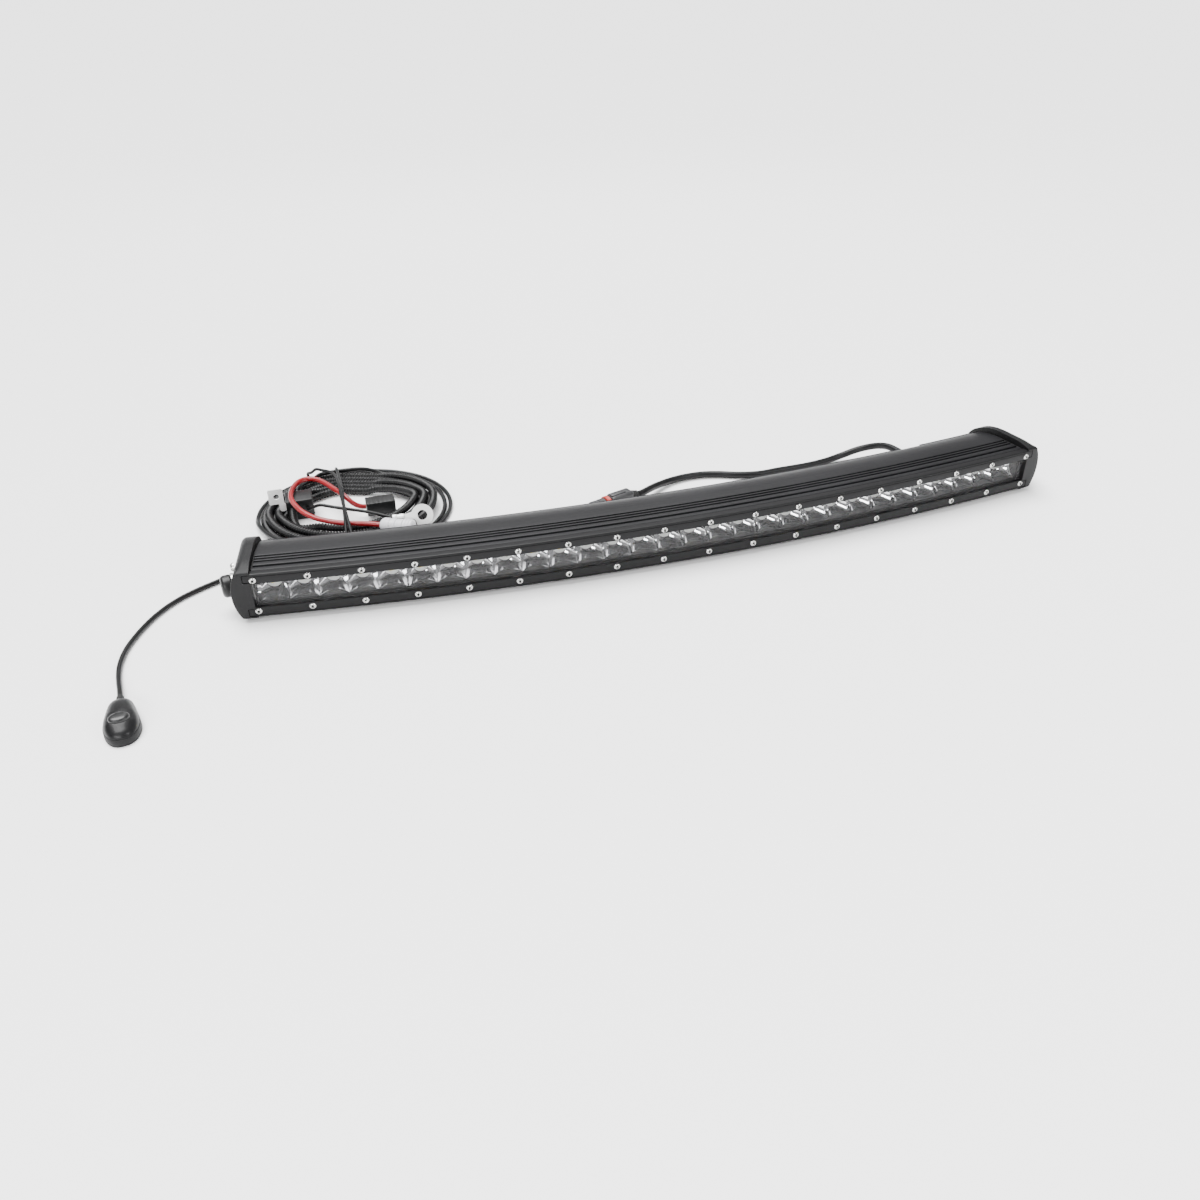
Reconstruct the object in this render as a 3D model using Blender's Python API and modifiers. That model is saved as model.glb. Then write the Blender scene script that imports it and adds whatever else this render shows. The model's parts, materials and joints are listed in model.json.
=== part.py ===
"""Curved single-row LED light bar with its wiring harness and switch pod.

Metres, +Z up, +X along the bar, the lens looks towards -Y.
The origin is under the middle of the bar, on the surface it stands on.
A place on the bar is given as (along, depth, height): along the arc of the front face,
depth behind that face, and height from the middle of the section.
"""
import math

import bmesh
import bpy
from mathutils import Matrix, Vector

# the bar
ARC_RADIUS = 2.603
CELL_PITCH = 0.025
CELLS_PER_MODULE = 5
MODULE_COUNT = 6
LENS_LENGTH = CELL_PITCH * CELLS_PER_MODULE * MODULE_COUNT
ARC_STEPS = 15
GAP = 0.0003

# the housing's section
HALF_HEIGHT = 0.0207
HOUSING_END = LENS_LENGTH / 2 + 0.0005
HOUSING_FRONT = 0.0071
CHANNEL_HALF = 0.0132
LEDGE_DEPTH = 0.0094
POCKET_HALF = 0.0186
WEB_FRONT = 0.0272
WEB_REAR = 0.0327
ENVELOPE_START = 0.034
ENVELOPE_LENGTH = 0.049
TOP_WALL_TIP = 0.068
WALL = 0.0026
FIN_PITCH = 0.0054
FIN_HALF = 0.001
RAIL_GROOVE = (0.01375, 0.0029, 0.003)
THIN_GROOVES = ((0.0218, 0.0021, 0.002), (0.0262, 0.0021, 0.002), (0.0306, 0.0021, 0.002))

# the bezel strips, the lens and what is behind it
STRIP_END = LENS_LENGTH / 2 + 0.0018
STRIP_INNER = 0.0133
STRIP_THICK = 0.004
STRIP_FLANGE = 0.0068
LENS_HALF = 0.0184
LENS_THICK = 0.003
GASKET_THICK = 0.0015
REFLECTOR_FRONT = 0.0107
REFLECTOR_HALF = 0.0129
CUP_HALF = 0.0122
CUP_VERTEX = 0.0273
CUP_FOCUS = 0.0048
BOARD_FRONT = 0.0253
BOARD_THICK = 0.0016

# the end caps and the bolts that hold the bar by them
CAP_INNER = STRIP_END + GAP
CAP_BULGE_OUT = 0.3947
CAP_BULGE_RADIUS = 0.0453
CAP_FRONT_HALF = 0.0223
CAP_HALF = 0.0255
CAP_FLAT = (0.020, 0.042)
CAP_DEPTH = 0.084
SIDE_BOLT_DEPTH = 0.022
SIDE_BOLT_HEAD_RADIUS = 0.0096
SIDE_BOLT_HEAD_LENGTH = 0.0102
SPOT_FACE = 0.3936
END_SCREW_DEPTH = 0.02995
END_SCREW_HEIGHT = 0.0125

# screws
BEZEL_SCREW_ALONG = LENS_LENGTH / 17 / 2
BEZEL_SCREW_HEIGHT = 0.01485
SCREW_HEAD_RADIUS = 0.0029
SCREW_HEAD = 0.0019

# the frame: the bar's box is centred on the origin from front to back
REAR_Y = ARC_RADIUS - (ARC_RADIUS - CAP_DEPTH) * math.cos(CAP_BULGE_OUT / ARC_RADIUS)
MIDDLE_Y = (REAR_Y - SCREW_HEAD) / 2

# wiring
GLAND_ALONG = 0.290
VENT_ALONG = -0.290
LEAD_DIAMETER = 0.007
LOOM_DIAMETER = 0.008
SWITCH_LEAD_DIAMETER = 0.0042
POWER_WIRE_DIAMETER = 0.005
GROUND_WIRE_DIAMETER = 0.0032
TIE_DIAMETER = 0.003
COIL_CENTRE = (-0.277, 0.200)
COIL_OUTER = (0.094, 0.091)
COIL_OPENING_CENTRE = (-0.280, 0.193)
COIL_OPENING = (0.068, 0.043)
COIL_LOW = 0.0005
COIL_HIGH = 0.0205
PLUG_TURN = math.radians(18)

# the switch pod
POD_PLACE = (-0.4762, -0.083)
POD_TURN = math.radians(5)
POD_LENGTH = 0.052
POD_WIDTH = 0.0272
POD_HEIGHT = 0.015
POD_WALL = 0.0018
BUTTON_Y = -0.0092
BUTTON_TRAVEL = 0.0015


def clear_scene():
    for old in list(bpy.data.objects):
        bpy.data.objects.remove(old, do_unlink=True)


def make_collection(name):
    collection = bpy.data.collections.new(name)
    bpy.context.scene.collection.children.link(collection)
    return collection


def make_material(name, color, roughness, metallic=0.0, alpha=1.0):
    material = bpy.data.materials.new(name)
    material.use_nodes = True
    shader = material.node_tree.nodes["Principled BSDF"]
    shader.inputs["Base Color"].default_value = (*color, 1.0)
    shader.inputs["Roughness"].default_value = roughness
    shader.inputs["Metallic"].default_value = metallic
    shader.inputs["Alpha"].default_value = alpha
    return material


clear_scene()
parts = make_collection("led_light_bar")
cutters = make_collection("cutters")
materials = {
    "housing": make_material("housing", (0.045, 0.046, 0.05), 0.42, 0.6),
    "bezel": make_material("bezel", (0.016, 0.016, 0.017), 0.5, 0.3),
    "lens": make_material("lens", (0.95, 0.96, 0.97), 0.05, 0.0, 0.25),
    "seal": make_material("seal", (0.02, 0.02, 0.02), 0.8),
    "reflector": make_material("reflector", (0.86, 0.87, 0.88), 0.08, 1.0),
    "led_board": make_material("led_board", (0.82, 0.83, 0.80), 0.45),
    "end_cap": make_material("end_cap", (0.022, 0.022, 0.024), 0.55, 0.2),
    "stainless": make_material("stainless", (0.62, 0.62, 0.60), 0.25, 1.0),
    "side_bolt": make_material("side_bolt", (0.012, 0.012, 0.013), 0.5),
    "gland": make_material("gland", (0.018, 0.018, 0.019), 0.5),
    "cable": make_material("cable", (0.014, 0.014, 0.015), 0.4),
    "loom": make_material("loom", (0.016, 0.016, 0.017), 0.45),
    "connector": make_material("connector", (0.05, 0.05, 0.053), 0.45),
    "red_seal": make_material("red_seal", (0.62, 0.05, 0.03), 0.5),
    "relay": make_material("relay", (0.014, 0.014, 0.016), 0.4),
    "plated_steel": make_material("plated_steel", (0.78, 0.78, 0.76), 0.25, 1.0),
    "fuse_holder": make_material("fuse_holder", (0.78, 0.79, 0.80), 0.25, 0.0, 0.6),
    "red_wire": make_material("red_wire", (0.50, 0.012, 0.02), 0.35),
    "tie": make_material("tie", (0.012, 0.012, 0.013), 0.5),
    "switch_shell": make_material("switch_shell", (0.014, 0.014, 0.015), 0.25),
    "switch_button": make_material("switch_button", (0.02, 0.02, 0.021), 0.3),
    "switch_board": make_material("switch_board", (0.03, 0.16, 0.07), 0.5),
}


def on_bar(along, depth, height):
    """World place of a point of the bar."""
    angle = along / ARC_RADIUS
    reach = ARC_RADIUS - depth
    return Vector((reach * math.sin(angle),
                   ARC_RADIUS - reach * math.cos(angle) - MIDDLE_Y,
                   height + CAP_HALF))


def on_floor(x, y, height):
    """World place of a point measured from the middle of the bar's front face and the floor."""
    return Vector((x, y - MIDDLE_Y, height))


def finish(obj, material, parent=None):
    """Give an object its material, its collection and its parent."""
    for old in obj.users_collection:
        old.objects.unlink(obj)
    parts.objects.link(obj)
    obj.data.materials.clear()
    obj.data.materials.append(materials[material])
    obj.parent = parent
    return obj


def new_object(name, bm, location=(0, 0, 0), rotation=(0, 0, 0)):
    """Turn a bmesh into an object in the parts collection."""
    bmesh.ops.recalc_face_normals(bm, faces=bm.faces)
    mesh = bpy.data.meshes.new(name)
    bm.to_mesh(mesh)
    bm.free()
    obj = bpy.data.objects.new(name, mesh)
    obj.location = location
    obj.rotation_euler = rotation
    parts.objects.link(obj)
    return obj


def as_cutter(obj):
    """Move an object to the cutters: the build leaves it out."""
    for old in obj.users_collection:
        old.objects.unlink(obj)
    cutters.objects.link(obj)
    obj.hide_render = True
    obj.display_type = "WIRE"
    return obj


def combine(obj, other, operation="DIFFERENCE"):
    modifier = obj.modifiers.new(other.name, "BOOLEAN")
    modifier.operation = operation
    modifier.solver = "EXACT"
    modifier.object = other


def box(name, size, location=(0, 0, 0), rotation=(0, 0, 0)):
    bm = bmesh.new()
    bmesh.ops.create_cube(bm, size=1.0)
    bmesh.ops.scale(bm, vec=size, verts=bm.verts)
    return new_object(name, bm, location, rotation)


def round_edges(obj, width):
    bevel = obj.modifiers.new("round", "BEVEL")
    bevel.width = width
    bevel.segments = 2


def cylinder(name, radius, length, location=(0, 0, 0), rotation=(0, 0, 0), segments=16):
    """A cylinder along its own Z, centred."""
    bm = bmesh.new()
    bmesh.ops.create_cone(bm, cap_ends=True, segments=segments, radius1=radius, radius2=radius, depth=length)
    return new_object(name, bm, location, rotation)


def turned(name, profile, location=(0, 0, 0), rotation=(0, 0, 0), segments=20):
    """A turned shape: the profile is (radius, height), from the top of the axis round to its foot."""
    bm = bmesh.new()
    verts = [bm.verts.new((radius, 0, height)) for radius, height in profile]
    for first, second in zip(verts, verts[1:]):
        bm.edges.new((first, second))
    mesh = bpy.data.meshes.new(name)
    bm.to_mesh(mesh)
    bm.free()
    obj = bpy.data.objects.new(name, mesh)
    obj.location = location
    obj.rotation_euler = rotation
    parts.objects.link(obj)
    screw = obj.modifiers.new("turn", "SCREW")
    screw.steps = segments
    screw.render_steps = segments
    screw.use_merge_vertices = True
    screw.merge_threshold = 0.00001
    screw.use_smooth_shade = True
    return obj


def closed(profile):
    """A turned ring's profile, closed back to its first point."""
    return profile + [profile[0]]


def mirrored(half):
    """A section's outline from its upper half."""
    return half + [(depth, -height) for depth, height in reversed(half)]


def arc_sweep(name, outline, start, end, steps=ARC_STEPS):
    """Sweep a section (depth, height) along the bar's arc and close its two ends."""
    bm = bmesh.new()
    first = start / ARC_RADIUS
    verts = []
    for depth, height in outline:
        reach = ARC_RADIUS - depth
        verts.append(bm.verts.new((reach * math.sin(first), -reach * math.cos(first), height)))
    edges = [bm.edges.new((a, b)) for a, b in zip(verts, verts[1:] + verts[:1])]
    bmesh.ops.spin(bm, geom=verts + edges, cent=(0, 0, 0), axis=(0, 0, 1), dvec=(0, 0, 0),
                   angle=(end - start) / ARC_RADIUS, steps=steps, use_duplicate=False)
    rims = [edge for edge in bm.edges if edge.is_boundary]
    bmesh.ops.holes_fill(bm, edges=rims, sides=0)
    return new_object(name, bm, (0, ARC_RADIUS - MIDDLE_Y, CAP_HALF))


def bar_turn(along):
    """Turn about Z that lines an object up with the bar."""
    return along / ARC_RADIUS


def smooth_route(points, spacing):
    """Points a spacing apart on a Catmull-Rom curve through the route's own points."""
    ends = [points[0] * 2 - points[1]] + points + [points[-1] * 2 - points[-2]]
    fine = []
    for a, b, c, d in zip(ends, ends[1:], ends[2:], ends[3:]):
        for step in range(12):
            t = step / 12
            fine.append(0.5 * (2 * b + (c - a) * t + (2 * a - 5 * b + 4 * c - d) * t ** 2
                               + (3 * b - a - 3 * c + d) * t ** 3))
    fine.append(points[-1])
    length = sum((b - a).length for a, b in zip(fine, fine[1:]))
    count = max(2, round(length / spacing))
    route = [fine[0]]
    walked = 0.0
    for a, b in zip(fine, fine[1:]):
        walked += (b - a).length
        if walked >= len(route) * length / count and len(route) < count:
            route.append(b)
    route.append(fine[-1])
    return route


def tube(name, points, diameter, material, resolution=2):
    """A round cord along a smooth route."""
    curve = bpy.data.curves.new(name, "CURVE")
    curve.dimensions = "3D"
    curve.bevel_depth = diameter / 2
    curve.bevel_resolution = resolution
    curve.use_fill_caps = True
    spline = curve.splines.new("POLY")
    route = smooth_route(points, diameter * 2.5)
    spline.points.add(len(route) - 1)
    for point, place in zip(spline.points, route):
        point.co = (*place, 1.0)
    obj = bpy.data.objects.new(name, curve)
    parts.objects.link(obj)
    return finish(obj, material)


def flat_outline(name, loops, thickness, location, rotation=(0, 0, 0)):
    """A plate from closed 2D outlines: the first is its edge, the others are openings."""
    curve = bpy.data.curves.new(name, "CURVE")
    curve.dimensions = "2D"
    curve.fill_mode = "BOTH"
    curve.extrude = thickness / 2
    for loop in loops:
        spline = curve.splines.new("POLY")
        spline.points.add(len(loop) - 1)
        for point, place in zip(spline.points, loop):
            point.co = (place[0], place[1], 0, 1)
        spline.use_cyclic_u = True
    obj = bpy.data.objects.new(name, curve)
    obj.location = location
    obj.rotation_euler = rotation
    parts.objects.link(obj)
    return obj


def ellipse(centre, radii, count, power=2.0):
    """Points on an ellipse, or on a squarer superellipse for a power over 2."""
    points = []
    for index in range(count):
        angle = math.tau * index / count
        side = math.copysign(abs(math.cos(angle)) ** (2 / power), math.cos(angle))
        rise = math.copysign(abs(math.sin(angle)) ** (2 / power), math.sin(angle))
        points.append((centre[0] + radii[0] * side, centre[1] + radii[1] * rise))
    return points


def envelope_height(depth):
    """Half height of the housing where its back rounds off."""
    return HALF_HEIGHT * math.sqrt(1 - ((depth - ENVELOPE_START) / ENVELOPE_LENGTH) ** 2)


def envelope_depth(height):
    return ENVELOPE_START + ENVELOPE_LENGTH * math.sqrt(1 - (height / HALF_HEIGHT) ** 2)


def housing_outline():
    """The extrusion: a channel for the optics in front, grooves on top, fins behind."""
    half = [(WEB_FRONT, CHANNEL_HALF), (LEDGE_DEPTH, CHANNEL_HALF), (LEDGE_DEPTH, POCKET_HALF),
            (HOUSING_FRONT, POCKET_HALF), (HOUSING_FRONT, HALF_HEIGHT)]
    for centre, width, deep in (RAIL_GROOVE,) + THIN_GROOVES:
        half += [(centre - width / 2, HALF_HEIGHT), (centre - width / 2, HALF_HEIGHT - deep),
                 (centre + width / 2, HALF_HEIGHT - deep), (centre + width / 2, HALF_HEIGHT)]
    steps = 5
    span = TOP_WALL_TIP - ENVELOPE_START
    outer = [ENVELOPE_START + span * step / steps for step in range(steps + 1)]
    half += [(depth, envelope_height(depth)) for depth in outer]
    half += [(depth - WALL / 2, envelope_height(depth) - WALL) for depth in reversed(outer[2:])]
    half.append((WEB_REAR, HALF_HEIGHT - WALL - 0.001))
    for height in (2 * FIN_PITCH, FIN_PITCH):
        tip = envelope_depth(height)
        half += [(WEB_REAR, height + FIN_HALF), (tip, height + FIN_HALF),
                 (tip, height - FIN_HALF), (WEB_REAR, height - FIN_HALF)]
    half += [(WEB_REAR, FIN_HALF), (envelope_depth(0), FIN_HALF)]
    return mirrored(half)


def bar_pocket(name, along, width, high, front, rear):
    """A box cutter on the bar, from one depth to another."""
    place = on_bar(along, (front + rear) / 2, 0)
    return as_cutter(box(name, (width, rear - front, high), place, (0, 0, bar_turn(along))))


def end_hole(name, side, depth, height, radius, start, end, segments=12):
    """A cylinder cutter along the bar at one of its ends."""
    middle = side * (start + end) / 2
    place = on_bar(middle, depth, height)
    turn = (0, math.pi / 2, bar_turn(middle))
    return as_cutter(cylinder(name, radius, end - start, place, turn, segments))


def make_housing():
    housing = finish(arc_sweep("housing", housing_outline(), -HOUSING_END, HOUSING_END), "housing")
    for side, label in ((-1, "left"), (1, "right")):
        for height in (END_SCREW_HEIGHT, -END_SCREW_HEIGHT):
            name = f"cut_housing_{label}_{'upper' if height > 0 else 'lower'}"
            combine(housing, end_hole(name, side, END_SCREW_DEPTH, height, 0.0016,
                                      HOUSING_END - 0.012, HOUSING_END + 0.002, 10))
    for name, along, width, hole in (("gland", GLAND_ALONG, 0.026, 0.0063),
                                     ("vent", VENT_ALONG, 0.020, 0.0037)):
        combine(housing, bar_pocket(f"cut_fins_{name}", along, width, 0.0236, WEB_REAR, 0.090))
        place = on_bar(along, (WEB_FRONT + WEB_REAR) / 2, 0)
        turn = (math.pi / 2, 0, bar_turn(along))
        combine(housing, as_cutter(cylinder(f"cut_web_{name}", hole, 0.008, place, turn, 16)))


def make_bezels():
    """Two strips that clamp the lens; the flange turns back over the housing's front edge."""
    half = [(0, STRIP_INNER), (0, HALF_HEIGHT - 0.0014), (0.0004, HALF_HEIGHT - 0.0004),
            (0.0014, HALF_HEIGHT), (STRIP_FLANGE, HALF_HEIGHT), (STRIP_FLANGE, HALF_HEIGHT - 0.0017),
            (STRIP_THICK, HALF_HEIGHT - 0.0017), (STRIP_THICK, STRIP_INNER)]
    for label, sign in (("upper", 1), ("lower", -1)):
        outline = [(depth, sign * height) for depth, height in half]
        strip = finish(arc_sweep(f"{label}_bezel", outline, -STRIP_END, STRIP_END), "bezel")
        for side, end in ((-1, "left"), (1, "right")):
            along = side * BEZEL_SCREW_ALONG
            place = on_bar(along, STRIP_THICK / 2, sign * BEZEL_SCREW_HEIGHT)
            turn = (math.pi / 2, 0, bar_turn(along))
            combine(strip, as_cutter(cylinder(f"cut_{label}_{end}", 0.0015, 0.008, place, turn, 12)))
            make_bezel_screw(f"bezel_screw_{label}_{end}", along, sign * BEZEL_SCREW_HEIGHT)


def make_bezel_screw(name, along, height):
    """A button-head screw, its shank as long as the strip is thick."""
    head = [(0, SCREW_HEAD), (0.0014, SCREW_HEAD - 0.0001), (0.0023, SCREW_HEAD - 0.0006),
            (SCREW_HEAD_RADIUS, 0.0005), (SCREW_HEAD_RADIUS, GAP)]
    shank = [(0.0012, GAP), (0.0012, -STRIP_THICK + GAP), (0, -STRIP_THICK + GAP)]
    turn = (math.pi / 2, 0, bar_turn(along))
    finish(turned(name, head + shank, on_bar(along, 0, height), turn, 14), "stainless")


def make_lens():
    front = STRIP_THICK + GAP
    sheet = [(front, LENS_HALF), (front + LENS_THICK, LENS_HALF)]
    finish(arc_sweep("lens", mirrored(sheet), -STRIP_END + GAP, STRIP_END - GAP), "lens")
    gasket_front = front + LENS_THICK + GAP
    gasket_rear = gasket_front + GASKET_THICK
    frame = [(gasket_front, LENS_HALF - 0.0004), (gasket_rear, LENS_HALF - 0.0004)]
    opening = [(gasket_front - 0.002, 0.0136), (gasket_rear + 0.002, 0.0136)]
    gasket = finish(arc_sweep("lens_gasket", mirrored(frame), -HOUSING_END - 0.001, HOUSING_END + 0.001), "seal")
    window = arc_sweep("cut_gasket", mirrored(opening), -HOUSING_END + 0.002, HOUSING_END - 0.002)
    combine(gasket, as_cutter(window))


def cup_cutter(x):
    """A reflector cup: a paraboloid with flat shelves above and below."""
    rings = 3
    rear = BOARD_FRONT + 0.001
    front = REFLECTOR_FRONT - 0.001
    profile = [(0, front)]
    for ring in range(rings + 1):
        depth = front + (rear - front) * ring / rings
        profile.append((math.sqrt(4 * CUP_FOCUS * (CUP_VERTEX - depth)), depth))
    profile.append((0, rear))
    heights = [(radius, -depth) for radius, depth in profile]
    name = f"cut_cup_{round((x / CELL_PITCH) + CELLS_PER_MODULE / 2)}"
    cup = turned(name, heights, (x, 0, 0), (math.pi / 2, 0, 0), 12)
    slab = box(f"{name}_slab", (0.06, 0.06, 2 * CUP_HALF), (x, 0.018, 0))
    combine(cup, as_cutter(slab), "INTERSECT")
    return as_cutter(cup)


def baked(obj):
    """The mesh of an object with its modifiers applied, without the object."""
    bpy.context.view_layer.update()
    evaluated = obj.evaluated_get(bpy.context.evaluated_depsgraph_get())
    mesh = bpy.data.meshes.new_from_object(evaluated)
    bpy.data.objects.remove(obj, do_unlink=True)
    return mesh


def make_modules():
    """Six alike lengths of reflector, each with the board that carries its lamps."""
    shrink = 1 - (BOARD_FRONT + BOARD_THICK) / ARC_RADIUS
    length = CELL_PITCH * CELLS_PER_MODULE * shrink - 2 * GAP
    middle = (CELLS_PER_MODULE - 1) / 2
    offsets = [(index - middle) * CELL_PITCH * shrink for index in range(CELLS_PER_MODULE)]
    deep = BOARD_FRONT - GAP - REFLECTOR_FRONT
    block = box("reflector", (length, deep, 2 * REFLECTOR_HALF), (0, REFLECTOR_FRONT + deep / 2, 0))
    block.data.transform(block.matrix_basis)
    block.matrix_basis.identity()
    for offset in offsets:
        combine(block, cup_cutter(offset))
    reflector_mesh = baked(block)
    board = box("board", (length, BOARD_THICK, 2 * REFLECTOR_HALF), (0, BOARD_FRONT + BOARD_THICK / 2, 0))
    board.data.transform(board.matrix_basis)
    board.matrix_basis.identity()
    for index, offset in enumerate(offsets):
        lamp = box(f"lamp_{index}", (0.005, 0.002, 0.005), (offset, BOARD_FRONT - 0.0006, 0))
        combine(board, as_cutter(lamp), "UNION")
    board_mesh = baked(board)
    for name, mesh, material in (("reflector", reflector_mesh, "reflector"),
                                 ("led_board", board_mesh, "led_board")):
        for index in range(MODULE_COUNT):
            along = (index - (MODULE_COUNT - 1) / 2) * CELL_PITCH * CELLS_PER_MODULE
            obj = bpy.data.objects.new(f"{name}_{index + 1}", mesh)
            obj.location = on_bar(along, 0, 0)
            obj.rotation_euler = (0, 0, bar_turn(along))
            finish(obj, material)


def cap_outline():
    """The end cap's side view: taller than the housing, flat above and below, round behind."""
    half = [(0.0, CAP_FRONT_HALF - 0.0012), (0.0012, CAP_FRONT_HALF), (0.009, CAP_FRONT_HALF + 0.0018),
            (CAP_FLAT[0], CAP_HALF), (CAP_FLAT[1], CAP_HALF)]
    steps = 7
    for step in range(1, steps):
        angle = math.pi / 2 * step / steps
        half.append((CAP_FLAT[1] + (CAP_DEPTH - CAP_FLAT[1]) * math.sin(angle) ** 1.15,
                     CAP_HALF * math.cos(angle) ** 0.9))
    half.append((CAP_DEPTH, 0.002))
    return mirrored(half)


def make_end(side, label):
    """One end of the bar: gasket, cap, the screws that hold it and the side bolt."""
    inner = side * CAP_INNER
    outer = side * (CAP_BULGE_OUT + 0.003)
    cap = arc_sweep(f"{label}_end_cap", cap_outline(), min(inner, outer), max(inner, outer), 1)
    finish(cap, "end_cap")
    axis = side * (CAP_BULGE_OUT - CAP_BULGE_RADIUS)
    bulge = cylinder(f"cut_{label}_bulge", CAP_BULGE_RADIUS, 0.12, on_bar(axis, 0.04, 0),
                     (math.pi / 2, 0, bar_turn(side * 0.390)), 64)
    combine(cap, as_cutter(bulge), "INTERSECT")
    cavity = box(f"cut_{label}_cavity", (0.018, 0.048, 0.016), on_bar(side * CAP_INNER, 0.040, 0),
                 (0, 0, bar_turn(side * 0.385)))
    combine(cap, as_cutter(cavity))
    combine(cap, end_hole(f"cut_{label}_spot", side, SIDE_BOLT_DEPTH, 0, 0.0112, SPOT_FACE, 0.402, 28))
    combine(cap, end_hole(f"cut_{label}_bolt", side, SIDE_BOLT_DEPTH, 0, 0.0043, 0.380, 0.400, 16))
    shim = HALF_HEIGHT - 0.001
    plate = [(LEDGE_DEPTH + GAP, shim), (0.040, shim), (0.056, 0.0165), (0.068, 0.012), (0.072, 0.004)]
    near = side * (HOUSING_END + GAP)
    far = side * (CAP_INNER - GAP)
    gasket = finish(arc_sweep(f"{label}_end_gasket", mirrored(plate), min(near, far), max(near, far), 1), "seal")
    window = box(f"cut_{label}_window", (0.02, 0.024, 0.014), on_bar(side * 0.376, 0.048, 0),
                 (0, 0, bar_turn(side * 0.376)))
    combine(gasket, as_cutter(window))
    for height, level in ((END_SCREW_HEIGHT, "upper"), (-END_SCREW_HEIGHT, "lower")):
        hole = end_hole(f"cut_{label}_{level}_screw", side, END_SCREW_DEPTH, height, 0.0018, 0.374, 0.400, 12)
        combine(cap, hole)
        combine(gasket, hole)
        seat = end_hole(f"cut_{label}_{level}_seat", side, END_SCREW_DEPTH, height, 0.0038, 0.3912, 0.400, 16)
        combine(cap, seat)
        make_end_screw(f"end_screw_{label}_{level}", side, height)
    make_side_bolt(side, label)


def outward(side, along):
    """Turn that points an object's Z out of one end of the bar."""
    return (0, side * math.pi / 2, bar_turn(along))


def make_end_screw(name, side, height):
    seat = 0.3912 + GAP
    length = seat - (HOUSING_END - 0.009)
    profile = [(0, 0.0024), (0.0016, 0.0023), (0.0028, 0.0014), (0.0032, 0), (0.0013, 0),
               (0.0013, -length), (0, -length)]
    place = on_bar(side * seat, END_SCREW_DEPTH, height)
    finish(turned(name, profile, place, outward(side, side * 0.384), 14), "stainless")


def make_side_bolt(side, label):
    """A washer and the round-headed bolt that a bracket is clamped with."""
    washer_in = SPOT_FACE + GAP
    washer = closed([(0.0043, 0.0012), (0.0102, 0.0012), (0.0102, 0), (0.0043, 0)])
    along = side * washer_in
    place = on_bar(along, SIDE_BOLT_DEPTH, 0)
    finish(turned(f"{label}_side_washer", washer, place, outward(side, along), 24), "stainless")
    radius = SIDE_BOLT_HEAD_RADIUS
    long = SIDE_BOLT_HEAD_LENGTH
    bolt = [(0, long), (radius - 0.0022, long), (radius - 0.0006, long - 0.0006), (radius, long - 0.0022),
            (radius, 0.0008), (radius - 0.0008, 0), (0.0039, 0), (0.0039, -0.011), (0, -0.011)]
    head_in = washer_in + 0.0012 + GAP
    place = on_bar(side * head_in, SIDE_BOLT_DEPTH, 0)
    finish(turned(f"{label}_side_bolt", bolt, place, outward(side, along), 24), "side_bolt")


def make_gland():
    """The rear cable gland in its pocket between the fins, and the breather beside it."""
    backward = (-math.pi / 2, 0, bar_turn(GLAND_ALONG))
    body = [(0, 0.0100), (0.0074, 0.0100), (0.0074, 0.0052), (0.0094, 0.0048), (0.0094, GAP),
            (0.0060, GAP), (0.0060, -0.0042), (0, -0.0042)]
    finish(turned("gland_body", body, on_bar(GLAND_ALONG, WEB_REAR, 0), backward, 18), "gland")
    nut = closed([(0.0040, 0.0180), (0.0062, 0.0178), (0.0088, 0.0140), (0.0094, 0.0120), (0.0094, 0.0055),
                  (0.0078, 0.0055), (0.0078, 0.0104), (0.0040, 0.0104)])
    finish(turned("gland_nut", nut, on_bar(GLAND_ALONG, WEB_REAR, 0), backward, 18), "gland")
    vent = [(0, 0.0060), (0.0055, 0.0058), (0.0068, 0.0048), (0.0068, GAP), (0.0034, GAP),
            (0.0034, -0.0042), (0, -0.0042)]
    backward = (-math.pi / 2, 0, bar_turn(VENT_ALONG))
    finish(turned("vent_plug", vent, on_bar(VENT_ALONG, WEB_REAR, 0), backward, 18), "gland")


def route(*places):
    return [on_floor(*place) for place in places]


def make_pigtail():
    """The bar's own lead, from the gland to its plug, lying on the floor behind the bar."""
    leave = [on_bar(GLAND_ALONG, depth, 0) for depth in (0.0510, 0.063, 0.077, 0.091)]
    lie = route((0.276, 0.123, 0.0245), (0.270, 0.138, 0.0195), (0.257, 0.149, 0.0125),
                (0.240, 0.1525, 0.0065), (0.220, 0.150, 0.0040), (0.198, 0.147, 0.0037),
                (0.178, 0.146, 0.0037), (0.160, 0.1455, 0.0037), (0.144, 0.1445, 0.0037),
                (0.130, 0.146, 0.0037), (0.114, 0.151, 0.0037), (0.098, 0.158, 0.0037),
                (0.081, 0.1625, 0.0037), (0.062, 0.1625, 0.0038), (0.046, 0.1590, 0.0042),
                (0.034, 0.1530, 0.0055), (0.022, 0.1450, 0.0075), (0.0115, 0.1370, 0.0090),
                (0.0050, 0.1324, 0.0095), (-0.0009, 0.1297, 0.0096))
    tube("pigtail", leave + lie, LEAD_DIAMETER, "cable")


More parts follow.
